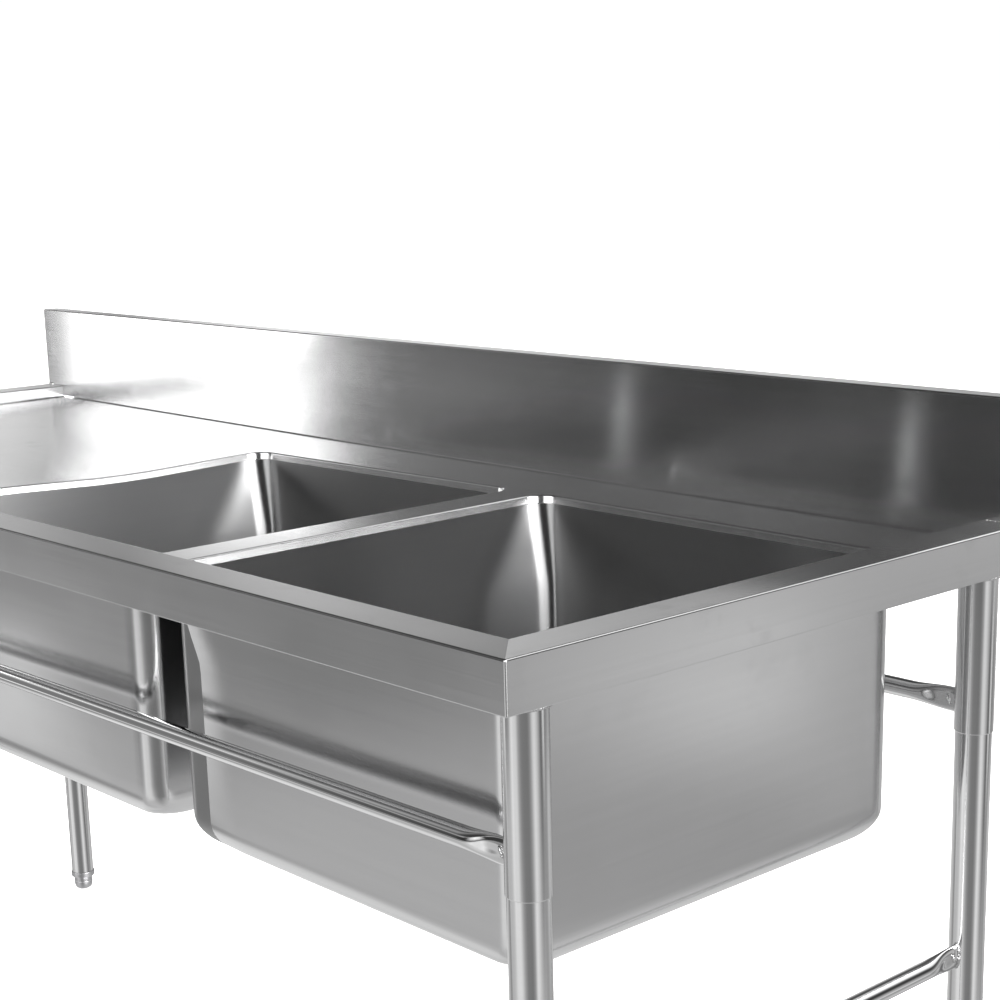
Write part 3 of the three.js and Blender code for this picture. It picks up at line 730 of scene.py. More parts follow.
def build_end_cap(side, name):
    low, high = cad_box("backsplash_end_cap_" + name)
    grow = np.array((0, 0.2, 0.2))
    x, y = side * (HALF_X - 0.5), SPLASH + 0.8
    cap = Part().slab(low - grow, high + grow, 0.35)
    cap.bead([(x, y, RIM + 2), (x, y, TOP - 3)], radius=0.55, pitch=2.2, seed=3)
    cap.build("backsplash_end_" + name, [SPLASH_STEEL, WELD], "satin_steel_top",
              "backsplash_end_cap_" + name)


build_backsplash()
build_end_cap(-1, "left")
build_end_cap(1, "right")

# ==========================================================================================
# Bowls
# ==========================================================================================

SIDE_SLOPE = math.tan(math.radians(10))     # turn of the side walls at their back end
FRONT_SLOPE = math.tan(math.radians(3.2))   # turn of the front wall at its left end
SIDE_REACH, FRONT_REACH = 68.0, 62.0        # longest run of wall that turns
MOUTH_FLAT, MOUTH_EDGE = 62.0, 44.5         # floor rings round the waste hole


def bowl_ring(b, inset, radius, z, bow=0.0, side_reach=0.0, front_reach=0.0):
    """One level of a bowl wall.

    The reaches are how far from a corner the side walls (back end) and the front wall (left
    end) start to turn inwards; bow pushes the wall middles outwards.
    """
    r = max(radius, 5.0)
    p = rounded_rectangle(b.x0 + inset, b.x1 - inset, b.y0 + inset, b.y1 - inset, r, 20, 44, 60)
    half_x, half_y = (b.x1 - b.x0) / 2 - inset, (b.y1 - b.y0) / 2 - inset
    sign_x, sign_y = np.sign(p[:, 0] - b.x), np.sign(p[:, 1] - b.y)
    off_x, off_y = np.abs(p[:, 0] - b.x), np.abs(p[:, 1] - b.y)
    if bow:
        on_side = (off_x > half_x - 0.01) & (off_y < half_y - r)
        on_end = (off_y > half_y - 0.01) & (off_x < half_x - r)
        along_y = np.clip(off_y / (0.86 * half_y), 0, 1)
        along_x = np.clip(off_x / (0.86 * half_x), 0, 1)
        p[:, 0] += sign_x * on_side * bow * (1 - along_y ** 2) ** 2
        p[:, 1] += sign_y * on_end * bow * (1 - along_x ** 2) ** 2
    # off and half are across the wall, run and half_run along it
    for reach, slope, axis, off, run, half, half_run, sign, chosen in (
        (side_reach, SIDE_SLOPE, 0, off_x, off_y, half_x, half_y, sign_x, sign_y > 0),
        (front_reach, FRONT_SLOPE, 1, off_y, off_x, half_y, half_x, sign_y,
         (sign_y < 0) & (sign_x < 0)),
    ):
        if not reach:
            continue
        depth = reach * slope / 1.5
        left = half_run - r - run           # wall left before the corner
        wall = chosen & (off > half - 0.01) & (left >= 0) & (left < reach)
        angle = np.arctan2(np.maximum(-left, 0), np.maximum(off - half + r, 1e-9))
        arc = chosen & (left < 0) & (off > half - r)
        p[:, axis] -= sign * (
            wall * depth * (1 - np.clip(left / reach, 0, 1)) ** 1.5
            + arc * np.cos(angle) * (depth + slope * r * np.sin(angle)))
    return level(p, z)


def bowl_skin(b, top, outside):
    """Rings from the lip down the wall, round the bend and in to the waste hole.

    outside is how far the skin lies outside the inner face. Only the inner skin has turned
    side walls, and only the outer one a turned front wall.
    """
    floor, bend = b.floor - outside, BOWL_BEND + outside
    foot = floor + bend
    rings = []
    for t in np.linspace(0, 1, 22):
        inset = LEAN - 0.1 + 0.8 * t - outside
        rings.append(bowl_ring(
            b, inset, BOWL_CORNER + outside - inset * 0.3, top + (foot - top) * t,
            bow=0.9 * math.sin(math.pi * min(1, t * 1.02)) ** 1.3,
            side_reach=0.0 if outside else min(SIDE_REACH, 7.0 + 158.0 * t),
            front_reach=min(FRONT_REACH, 7.0 + 160.0 * t) if outside else 0.0))
    for a in np.radians(np.linspace(90, 0, 13)[1:]):
        inward = bend * (1 - math.sin(a))
        rings.append(bowl_ring(
            b, LEAN + 0.7 - outside + inward, BOWL_CORNER + outside + inward * 0.45,
            floor + bend * (1 - math.cos(a)),
            side_reach=0.0 if outside else SIDE_REACH,
            front_reach=FRONT_REACH if outside else 0.0))
    centre = np.array([b.x, b.y])
    spoke = np.array(rings[-1])[:, :2] - centre
    unit = spoke / np.linalg.norm(spoke, axis=1)[:, None]
    for t in np.linspace(0, 1, 9)[1:]:
        rings.append(level(centre + spoke * (1 - t) + unit * MOUTH_FLAT * t, floor))
    rings.append(level(centre + unit * MOUTH_EDGE, floor))
    return rings


def build_bowl(b):
    base = np.array(bowl_ring(b, -LIP, BOWL_CORNER + LIP, 0.0))
    top = deck_z(base[:, 0], base[:, 1]) - COLLAR - 0.05
    inner, outer = bowl_skin(b, top, 0), bowl_skin(b, top, SHEET)
    shell = Part().loft(inner + outer[::-1], loop=True)
    first = len(inner) * len(base)
    shell.slots[first:] = [1] * (len(shell.slots) - first)
    shell.build("bowl_shell_" + b.side, [BOWL_INSIDE_PAINTED_SHADE, BOWL_OUTSIDE], "satin_steel_bowl",
                "bowl_" + b.side, angle=50, weighted=False)


for bowl in BOWLS:
    build_bowl(bowl)

# ==========================================================================================
# Legs: sockets, pipes, gusset plates, grub screws, feet
# ==========================================================================================


def build_socket(corner, x, y):
    low, high = cad_box("leg_socket_" + corner)
    radius, bottom, top = (high[0] - low[0]) / 2, low[2], high[2]
    bore = radius - 0.9
    side_x, side_y = (1 if x > 0 else -1), (1 if y > 0 else -1)
    socket = Part().lathe(rounded([
        (bore, bottom, 0.1), (radius - 0.35, bottom, 0.2), (radius, bottom + 0.6, 0.5),
        (radius, top, 0.3), (bore, top, 0.3)]), x, y)

    def weld_path(angles, outset, clearance, z):
        """Arc round the socket, kept this clear of the deck's outer side face."""
        path = []
        for a in np.radians(angles):
            px = x + (radius + outset) * math.cos(a)
            px = side_x * min(side_x * px, HALF_X - clearance)
            path.append((px, y + (radius + outset) * math.sin(a), z(a)))
        return path

    outer_side = np.linspace(-52, 50, 28) if side_x > 0 else np.linspace(130, 232, 28)
    socket.bead(weld_path(outer_side, 0.6, 2.4, lambda a: APRON - 0.8 + 0.5 * math.cos(3 * a)),
                radius=1.9, pitch=2.8, seed=2 + side_x + side_y)
    socket.bead(weld_path(np.linspace(4, 356, 90), 0.9, 3.2, lambda a: top - 1.2),
                radius=1.7, pitch=2.6, seed=4 + side_x + side_y)
    socket.build("socket_tube_" + corner, [SOCKET_STEEL, WELD], "tube_steel",
                 "leg_socket_" + corner, angle=45)


def build_pipe(corner, x, y):
    """Leg pipe. Gives back its bore radius."""
    low, high = cad_box("leg_tube_" + corner)
    radius = (high[0] - low[0]) / 2
    bore = radius - SHEET
    profile = [(bore, low[2]), (radius, low[2]), (radius, high[2]), (bore, high[2])]
    Part().lathe(fillet(profile, 0.3, 3), x, y).build(
        "leg_pipe_" + corner, [LEG_STEEL], "tube_steel", "leg_tube_" + corner, angle=45)
    return bore


def build_plate(corner):
    low, high = cad_box("socket_plate_" + corner)
    Part().slab(low, high, 1.0).build("gusset_plate_" + corner, [TOP_STEEL], "satin_steel_top",
                                      "socket_plate_" + corner)


def build_grub_screw(corner):
    """Threaded screw along Y with a hexagon socket at its wall end."""
    low, high = cad_box("set_screw_" + corner)
    x, _, z = (low + high) / 2
    y0, y1 = low[1], high[1]
    radius = (high[0] - low[0]) / 2
    step, pitch = 0.2, 0.8
    sections = [(y0, 1.4)]      # y, radius
    for k in range(int((y1 - y0) / step) + 1):
        y = y0 + step * k
        sections.append((min(y, y1), thread(radius, 0.28, (y - y0) / pitch)))
    sections.append((y1, 2.3))
    sections += [(y, lambda angle: hexagon_radius(angle, 1.5)) for y in (y1, y1 - 2.0)]
    rings = [[(px, y, pz) for px, pz in circle(x, z, r, 36)] for y, r in sections]
    Part().loft(rings).build("grub_screw_" + corner, [PLATED], "plated_steel",
                             "set_screw_" + corner, angle=30, weighted=False)


def build_foot_ring(corner, x, y, pipe_bore):
    """Ring pressed into the leg, with a bore for the foot's stud."""
    low, high = cad_box("foot_insert_" + corner)
    outer, neck, bore = (high[0] - low[0]) / 2, pipe_bore - 0.35, 6.3
    height, shoulder = high[2] - low[2], 9.0
    profile = rounded([
        (bore, 0, 0.4), (outer - 1.6, 0, 0.8), (outer, 1.6, 0.8), (outer, shoulder, 0.8),
        (neck, shoulder, 0.2), (neck, height, 0.8), (bore, height, 0.4)], 4, low[2])
    Part().lathe(profile, x, y).build("foot_ring_" + corner, [PLATED], "plated_steel",
                                      "foot_insert_" + corner, angle=40)


def build_foot(corner, x, y):
    """Bullet foot with a threaded stud."""
    low, high = cad_box("foot_" + corner)
    radius, top = (high[0] - low[0]) / 2, high[2]
    groove, shoulder = radius - 0.7, 21.7
    profile = rounded([
        (0, 0, 0), (9.2, 0, 1.6), (radius - 1.6, 3.2, 2.0), (radius, 9.0, 2.5),
        (radius, 13.4, 0.3), (groove, 14.0, 0.3), (groove, 14.8, 0.3), (radius, 15.4, 0.3),
        (radius, shoulder, 1.0), (6.0, shoulder, 0), (0, shoulder, 0)], 4)[:-1]
    foot = Part().lathe(profile, x, y, 72, closed=False)
    sections = [(21.0, 5.9)]    # z, radius
    sections += [(z, thread(5.95, 0.75, z / 1.75)) for z in np.arange(21.8, top - 1.3, 0.3)]
    sections.append((top, 4.6))
    foot.loft([level(circle(x, y, r, 40), z) for z, r in sections])
    foot.build("bullet_foot_" + corner, [PLATED], "plated_steel", "foot_" + corner,
               body="adjustable_foot_" + corner, angle=40, weighted=False)


for corner in ("front_right", "front_left", "rear_right", "rear_left"):
    leg_x, leg_y, _ = sum(cad_box("leg_socket_" + corner)) / 2
    build_socket(corner, leg_x, leg_y)
    pipe_bore = build_pipe(corner, leg_x, leg_y)
    build_plate(corner)
    build_grub_screw(corner)
    build_foot_ring(corner, leg_x, leg_y, pipe_bore)
    build_foot(corner, leg_x, leg_y)

# ==========================================================================================
# Braces: tubes with their ends pressed flat and welded
# ==========================================================================================

BRACE_RADIUS = 9.5
PRESSED_WIDTH, PRESSED_HEIGHT = 3.4, 12.5   # half sizes of a pressed end


def build_brace(name, cad, start, end, steel, seed):
    start, end = np.array(start, float), np.array(end, float)
    length = np.linalg.norm(end - start)
    along = (end - start) / length
    side = np.cross(along, (0, 0, 1.0))
    side /= np.linalg.norm(side)
    up = np.cross(side, along)
    near = [0, 1.5, *range(4, 57, 4), 62]
    stations = near + list(np.linspace(80, length - 80, 40)) + [length - s for s in near[::-1]]
    rings = []
    for s in stations:
        from_end = min(s, length - s)
        pressed = 1 - ease((from_end - 8) / 46)
        half_width = BRACE_RADIUS + (PRESSED_WIDTH - BRACE_RADIUS) * pressed
        half_height = BRACE_RADIUS + (PRESSED_HEIGHT - BRACE_RADIUS) * pressed
        half_width *= 1 - 0.10 * math.exp(-((from_end - 26) / 9) ** 2)
        power = 1 - 0.25 * pressed          # flatter faces where the tube is pressed
        crease = 0.28 * pressed * math.exp(-((from_end - 24) / 14) ** 2)
        ring = []
        for t in np.linspace(0, 2 * math.pi, 48, endpoint=False):
            across, height = math.cos(t), math.sin(t)
            across = math.copysign(abs(across) ** power, across)
            dent = 1 - crease * math.exp(-(height / 0.45) ** 2)
            ring.append(start + along * s + side * half_width * across * dent
                        + up * half_height * height)
        rings.append(ring)
    rail = Part().loft(rings)
    for point, inward in ((start, along), (end, -along)):
        loop = [point + inward * (0.4 + 0.3 * math.cos(5 * t)) + side * 3.7 * math.cos(t)
                + up * 12.6 * math.sin(t)   # bead round the pressed end
                for t in np.linspace(0.05, 2 * math.pi - 0.05, 60)]
        rail.bead(loop, radius=1.25, pitch=2.3, seed=seed, normal=tuple(along))
        for face in (-1, 1):                # and a short upright run on each flat face
            run = [point + inward * (8.5 + 1.5 * math.sin(2.2 * h))
                   + side * face * (3.2 - 0.25 * abs(h)) + up * (5.2 * h)
                   for h in np.linspace(-1, 1, 12)]
            rail.bead(run, radius=1.7, pitch=2.9, seed=seed + 3, normal=tuple(along))
        seed += 1
    rail.build(name, [steel, WELD], "polished_tube", cad, angle=50, weighted=False)


def build_braces():
    overlap = 0.3               # each end runs this far past its CAD box
    low, high = cad_box("brace_front")
    y = (low[1] + high[1]) / 2
    build_brace("rail_front", "brace_front", (low[0] - overlap, y, low[2] + PRESSED_HEIGHT),
                (high[0] + overlap, y, high[2] - PRESSED_HEIGHT), BRACE_X, seed=11)
    low, high = cad_box("brace_rear")
    _, y, z = (low + high) / 2
    build_brace("rail_rear", "brace_rear", (low[0] - overlap, y, z),
                (high[0] + overlap, y, z), BRACE_X, seed=21)
    for side, seed in (("right", 31), ("left", 41)):
        low, high = cad_box("brace_side_" + side)
        x, _, z = (low + high) / 2
        build_brace("rail_side_" + side, "brace_side_" + side, (x, low[1] - overlap, z),
                    (x, high[1] + overlap, z), BRACE_Y, seed=seed)


build_braces()

# ==========================================================================================
# Stiffening channels under the drainboard
# ==========================================================================================


def build_channel(place):
    low, high = cad_box("drainboard_channel_" + place)
    y, half, height = (low[1] + high[1]) / 2, (high[1] - low[1]) / 2, 24.0
    length = high[0] - low[0]
    drop = high[2] - (low[2] + height)      # how far the right end sits below the left end
    inner = half - SHEET
    # y from the middle, height from the top, bend radius
    rows = [(-half, -height, 0.3), (-half, 0, 2.0), (half, 0, 2.0), (half, -height, 0.3),
            (inner, -height, 0.3), (inner, -SHEET, 0.8), (-inner, -SHEET, 0.8),
            (-inner, -height, 0.3)]
    channel = Part().loft([[(x, y + a, z) for a, z in rounded(rows, 4, top)]
                           for x, top in ((low[0], high[2]), (high[0], high[2] - drop))])
    for k in range(6):          # stitch welds up to the drainboard
        x = low[0] + 50 + k * (length - 100) / 5
        z = high[2] - drop * (x - low[0]) / length
        for side in (-1, 1):
            weld_y = y + side * (half + 0.1)
            channel.bead([(x - 11, weld_y, z - 0.1),
                          (x + 11, weld_y, z - 0.2 - drop * 22 / length)],
                         radius=1.3, pitch=2.5, seed=k + side)
    channel.build("underside_channel_" + place, [TOP_STEEL, WELD], "satin_steel_top",
                  "drainboard_channel_" + place)


for place in ("front", "rear"):
    build_channel(place)

# ==========================================================================================
# Wastes: body, gasket, washer, nuts, tailpiece, lift-out basket and its seal
# ==========================================================================================

NUT_POINTS = 192
BASKET_POINTS = 96

# radius, height above the bowl floor, corner radius
WASTE_BODY = [
    (56, 0.3, 0.2), (56, 1.1, 0.5), (54, 1.7, 0.8), (43.4, 1.7, 1.5), (41.8, -1, 1.0),
    (41.8, -9, 0.6), (38, -9, 1.5), (38, -44, 5), (19.5, -47, 1.0), (19.5, -61, 0.2),
    (21, -61, 0.2), (21, -48.6, 1.0), (39.4, -45.4, 4), (39.4, -14, 0.8), (43.2, -14, 0.3),
    (43.2, 0.3, 0.1),
]
BASKET_KNOB = [
    (0, -36.0, 0), (4.2, -36.0, 0.3), (4.2, -34.0, 0.6), (2.6, -33.2, 0.6), (2.6, 0.8, 1.2),
    (7.0, 1.6, 1.0), (8.0, 3.2, 1.0), (8.0, 5.6, 1.0), (6.2, 7.4, 1.2), (0, 7.5, 0),
]
# radius, height above the basket's bottom
BASKET_BOTTOM = -35.3           # above the bowl floor
BASKET_FLOOR = 30.0             # radius of the perforated disc
BASKET_WALL = [
    (BASKET_FLOOR, 0), (32.4, 0.3), (34.2, 1.2), (35.2, 2.9), (35.5, 5), (35.6, 8), (35.7, 18),
    (35.8, 21), (35.9, 25.7), (36.5, 26.7), (37.6, 27.2), (40.9, 27.3),
]
# circle radius, number of holes, hole radius, start angle in radians
BASKET_HOLES = [(10.5, 6, 2.0, 0.3), (17.5, 10, 2.1, 0.0), (25.0, 14, 2.2, 0.2)]
# circle radius, number of mesh points on the disc between the holes
BASKET_FILL = [(0.0, 1), (5.0, 12), (14.0, 24), (21.2, 30), (28.4, 48)]


def build_waste_body(b):
    Part().lathe(rounded(WASTE_BODY, 4, b.floor), b.x, b.y).build(
        "waste_body_" + b.side, [CHROME], "polished_steel", "strainer_body_" + b.side, angle=45)


def build_flat_ring(b, name, cad, outer, edge, seg, material, slot):
    low, high = cad_box(cad + b.side)
    bore = 44.4
    profile = [(bore, high[2]), (outer, high[2]), (outer, low[2]), (bore, low[2])]
    Part().lathe(fillet(profile, edge, seg), b.x, b.y).build(
        name + b.side, [material], slot, cad + b.side, angle=45)


def build_locknut(b):
    """Big ring nut with eight lugs."""
    low, high = cad_box("locknut_" + b.side)
    bottom, top = low[2], high[2]

    def lugs(inset):
        return lambda a: 53 - inset + 5 * ease((math.cos(8 * a - 0.6) + 0.35) / 0.7)

    sections = [                # radius, z
        (lugs(0.9), bottom), (lugs(0.3), bottom + 0.3), (lugs(0), bottom + 0.9),
        (lugs(0), top - 0.9), (lugs(0.3), top - 0.3), (lugs(0.9), top),
        (44.2, top), (43.5, top - 0.7), (43.5, bottom + 0.7), (44.2, bottom),
    ]
    rings = [level(circle(b.x, b.y, radius, NUT_POINTS), z) for radius, z in sections]
    Part().loft(rings, loop=True).build("waste_locknut_" + b.side, [PLATED], "plated_steel",
                                        "locknut_" + b.side, angle=40, weighted=False)


def build_hex_nut(b):
    """Hexagon nut with turned-off corners."""
    low, high = cad_box("coupling_nut_" + b.side)
    bottom, top = low[2], high[2]
    apothem = 28 * math.cos(math.pi / 6)

    def cut(cone):
        return lambda angle: min(hexagon_radius(angle, apothem), cone)

    chamfer = [(24.6, 0), (25.2, 0.4), (26.8, 1.6), (28.2, 2.8)]    # radius, distance from end
    sections = [(cut(cone), bottom + up) for cone, up in chamfer]
    sections += [(cut(cone), top - down) for cone, down in chamfer[::-1]]
    sections += [(21.8, top), (21.4, top - 0.5), (21.4, bottom + 3.6), (19.4, bottom + 3.6),
                 (19.4, bottom + 0.4), (19.8, bottom)]
    rings = [level(circle(b.x, b.y, radius, NUT_POINTS), z) for radius, z in sections]
    Part().loft(rings, loop=True).build("waste_hex_nut_" + b.side, [CHROME], "chromed_brass",
                                        "coupling_nut_" + b.side, angle=28, weighted=False)


def build_tailpiece(b):
    low, high = cad_box("tailpiece_" + b.side)
    length = high[2] - low[2]
    profile = rounded([(17.6, 0, 0.5), (21, 0, 0.4), (21, -2.5, 0.4), (19, -2.5, 0.8),
                       (19, -length, 0.4), (17.6, -length, 0.4)], 4, high[2])
    Part().lathe(profile, b.x, b.y).build("waste_tail_" + b.side, [CHROME], "chromed_brass",
                                          "tailpiece_" + b.side, angle=45)


def perforated_disc():
    """Plan points and faces of the basket floor, about its own centre."""
    points, edges, holes = [], [], []
    add_loop(points, edges, circle(0, 0, BASKET_FLOOR, BASKET_POINTS))
    for radius, count, hole, start in BASKET_HOLES:
        for k in range(count):
            a = 2 * math.pi * k / count + start
            holes.append((radius * math.cos(a), radius * math.sin(a), hole))
    for x, y, hole in holes:
        add_loop(points, edges, circle(x, y, hole, 16))
    for radius, count in BASKET_FILL:
        for k in range(count):
            a = 2 * math.pi * (k + 0.5) / count
            x, y = radius * math.cos(a), radius * math.sin(a)
            if all((x - hx) ** 2 + (y - hy) ** 2 > (hole + 0.6) ** 2 for hx, hy, hole in holes):
                points.append((x, y))
    plan, faces = triangulate(points, edges, 1e-6)
    kept = []
    for face in faces:
        x, y = plan[list(face)].mean(0)
        if all((x - hx) ** 2 + (y - hy) ** 2 >= (hole * 0.985) ** 2 for hx, hy, hole in holes):
            kept.append(list(face))
    return plan, kept


def build_basket_cup(b):
    bottom, n = b.floor + BASKET_BOTTOM, BASKET_POINTS
    plan, faces = perforated_disc()
    cup = Part().add([(b.x + x, b.y + y, bottom) for x, y in plan], faces)
    verts, faces = [], []
    for radius, up in BASKET_WALL:
        verts += level(circle(b.x, b.y, radius, n), bottom + up)
    for k in range(len(BASKET_WALL) - 1):
        for i in range(n):
            if k in (5, 6) and i % 12 in (0, 1, 2):     # slots round the side
                continue
            j = (i + 1) % n
            faces.append([k * n + i, k * n + j, (k + 1) * n + j, (k + 1) * n + i])
    cup.add(verts, faces)
    ob = cup.build("basket_cup_" + b.side, [CHROME], "polished_steel",
                   body="strainer_" + b.side, angle=45, weighted=False)
    sheet = ob.modifiers.new("sheet", "SOLIDIFY")
    sheet.thickness = 0.001     # metres
    sheet.offset = -1.0


def build_basket_knob(b):
    knob = Part().lathe(rounded(BASKET_KNOB, 5, b.floor), b.x, b.y, 64, closed=False)
    knob.build("basket_knob_" + b.side, [CHROME], "polished_steel",
               "strainer_basket_" + b.side, body="strainer_" + b.side, angle=50)


def build_basket_seal(b):
    low, high = cad_box("stopper_seal_" + b.side)
    height = high[2] - low[2]
    profile = rounded([(0, 0, 0), (17, 0, 1.5), (24, 2.7, 1.0), (24, height, 0.8),
                       (0, height, 0)], 4, low[2])
    Part().lathe(profile, b.x, b.y, 72, closed=False).build(
        "basket_seal_" + b.side, [RUBBER], "black_rubber", "stopper_seal_" + b.side,
        body="strainer_" + b.side, angle=40)


for bowl in BOWLS:
    build_waste_body(bowl)
    build_flat_ring(bowl, "waste_gasket_", "drain_gasket_", outer=56, edge=0.8, seg=4,
                    material=RUBBER, slot="black_rubber")
    build_flat_ring(bowl, "waste_washer_", "friction_washer_", outer=57, edge=0.25, seg=3,
                    material=PLASTIC, slot="grey_plastic")
    build_locknut(bowl)
    build_hex_nut(bowl)
    build_tailpiece(bowl)
    build_basket_cup(bowl)
    build_basket_knob(bowl)
    build_basket_seal(bowl)

# ==========================================================================================
# Stage: pale floor, studio surroundings, lights, camera
# ==========================================================================================


def stage_sheet(name, corners):
    """One four-cornered face, not yet handed to the stage."""
    mesh = bpy.data.meshes.new(name)
    mesh.from_pydata([(x * MM, y * MM, z * MM) for x, y, z in corners], [], [[0, 1, 2, 3]])
    ob = bpy.data.objects.new(name, mesh)
    bpy.context.scene.collection.objects.link(ob)
    return ob


def build_floor():
    """Pale floor that glows a little to the camera and isn't reflected in the steel."""
    far, z = 90000, -0.2
    floor = stage_sheet("studio_floor",
                        [(-far, -far, z), (far, -far, z), (far, far, z), (-far, far, z)])
    material, g, inputs = new_material("pale_floor")
    shade = g.remap(g.noise(g.place(), scale=3.0, detail=2.0, rough=0.5), 0.3, 0.7, 0.80, 0.82)
    g.put(inputs["Base Color"], g.color([shade] * 3))
    inputs["Roughness"].default_value = 0.9
    inputs["Specular IOR Level"].default_value = 0.0
    inputs["Emission Color"].default_value = (1, 1, 1, 1)
    to_camera = g.new("ShaderNodeLightPath").outputs["Is Camera Ray"]
    g.put(inputs["Emission Strength"], g.times(to_camera, 0.62))
    floor.data.materials.append(material)
    floor.visible_glossy = False


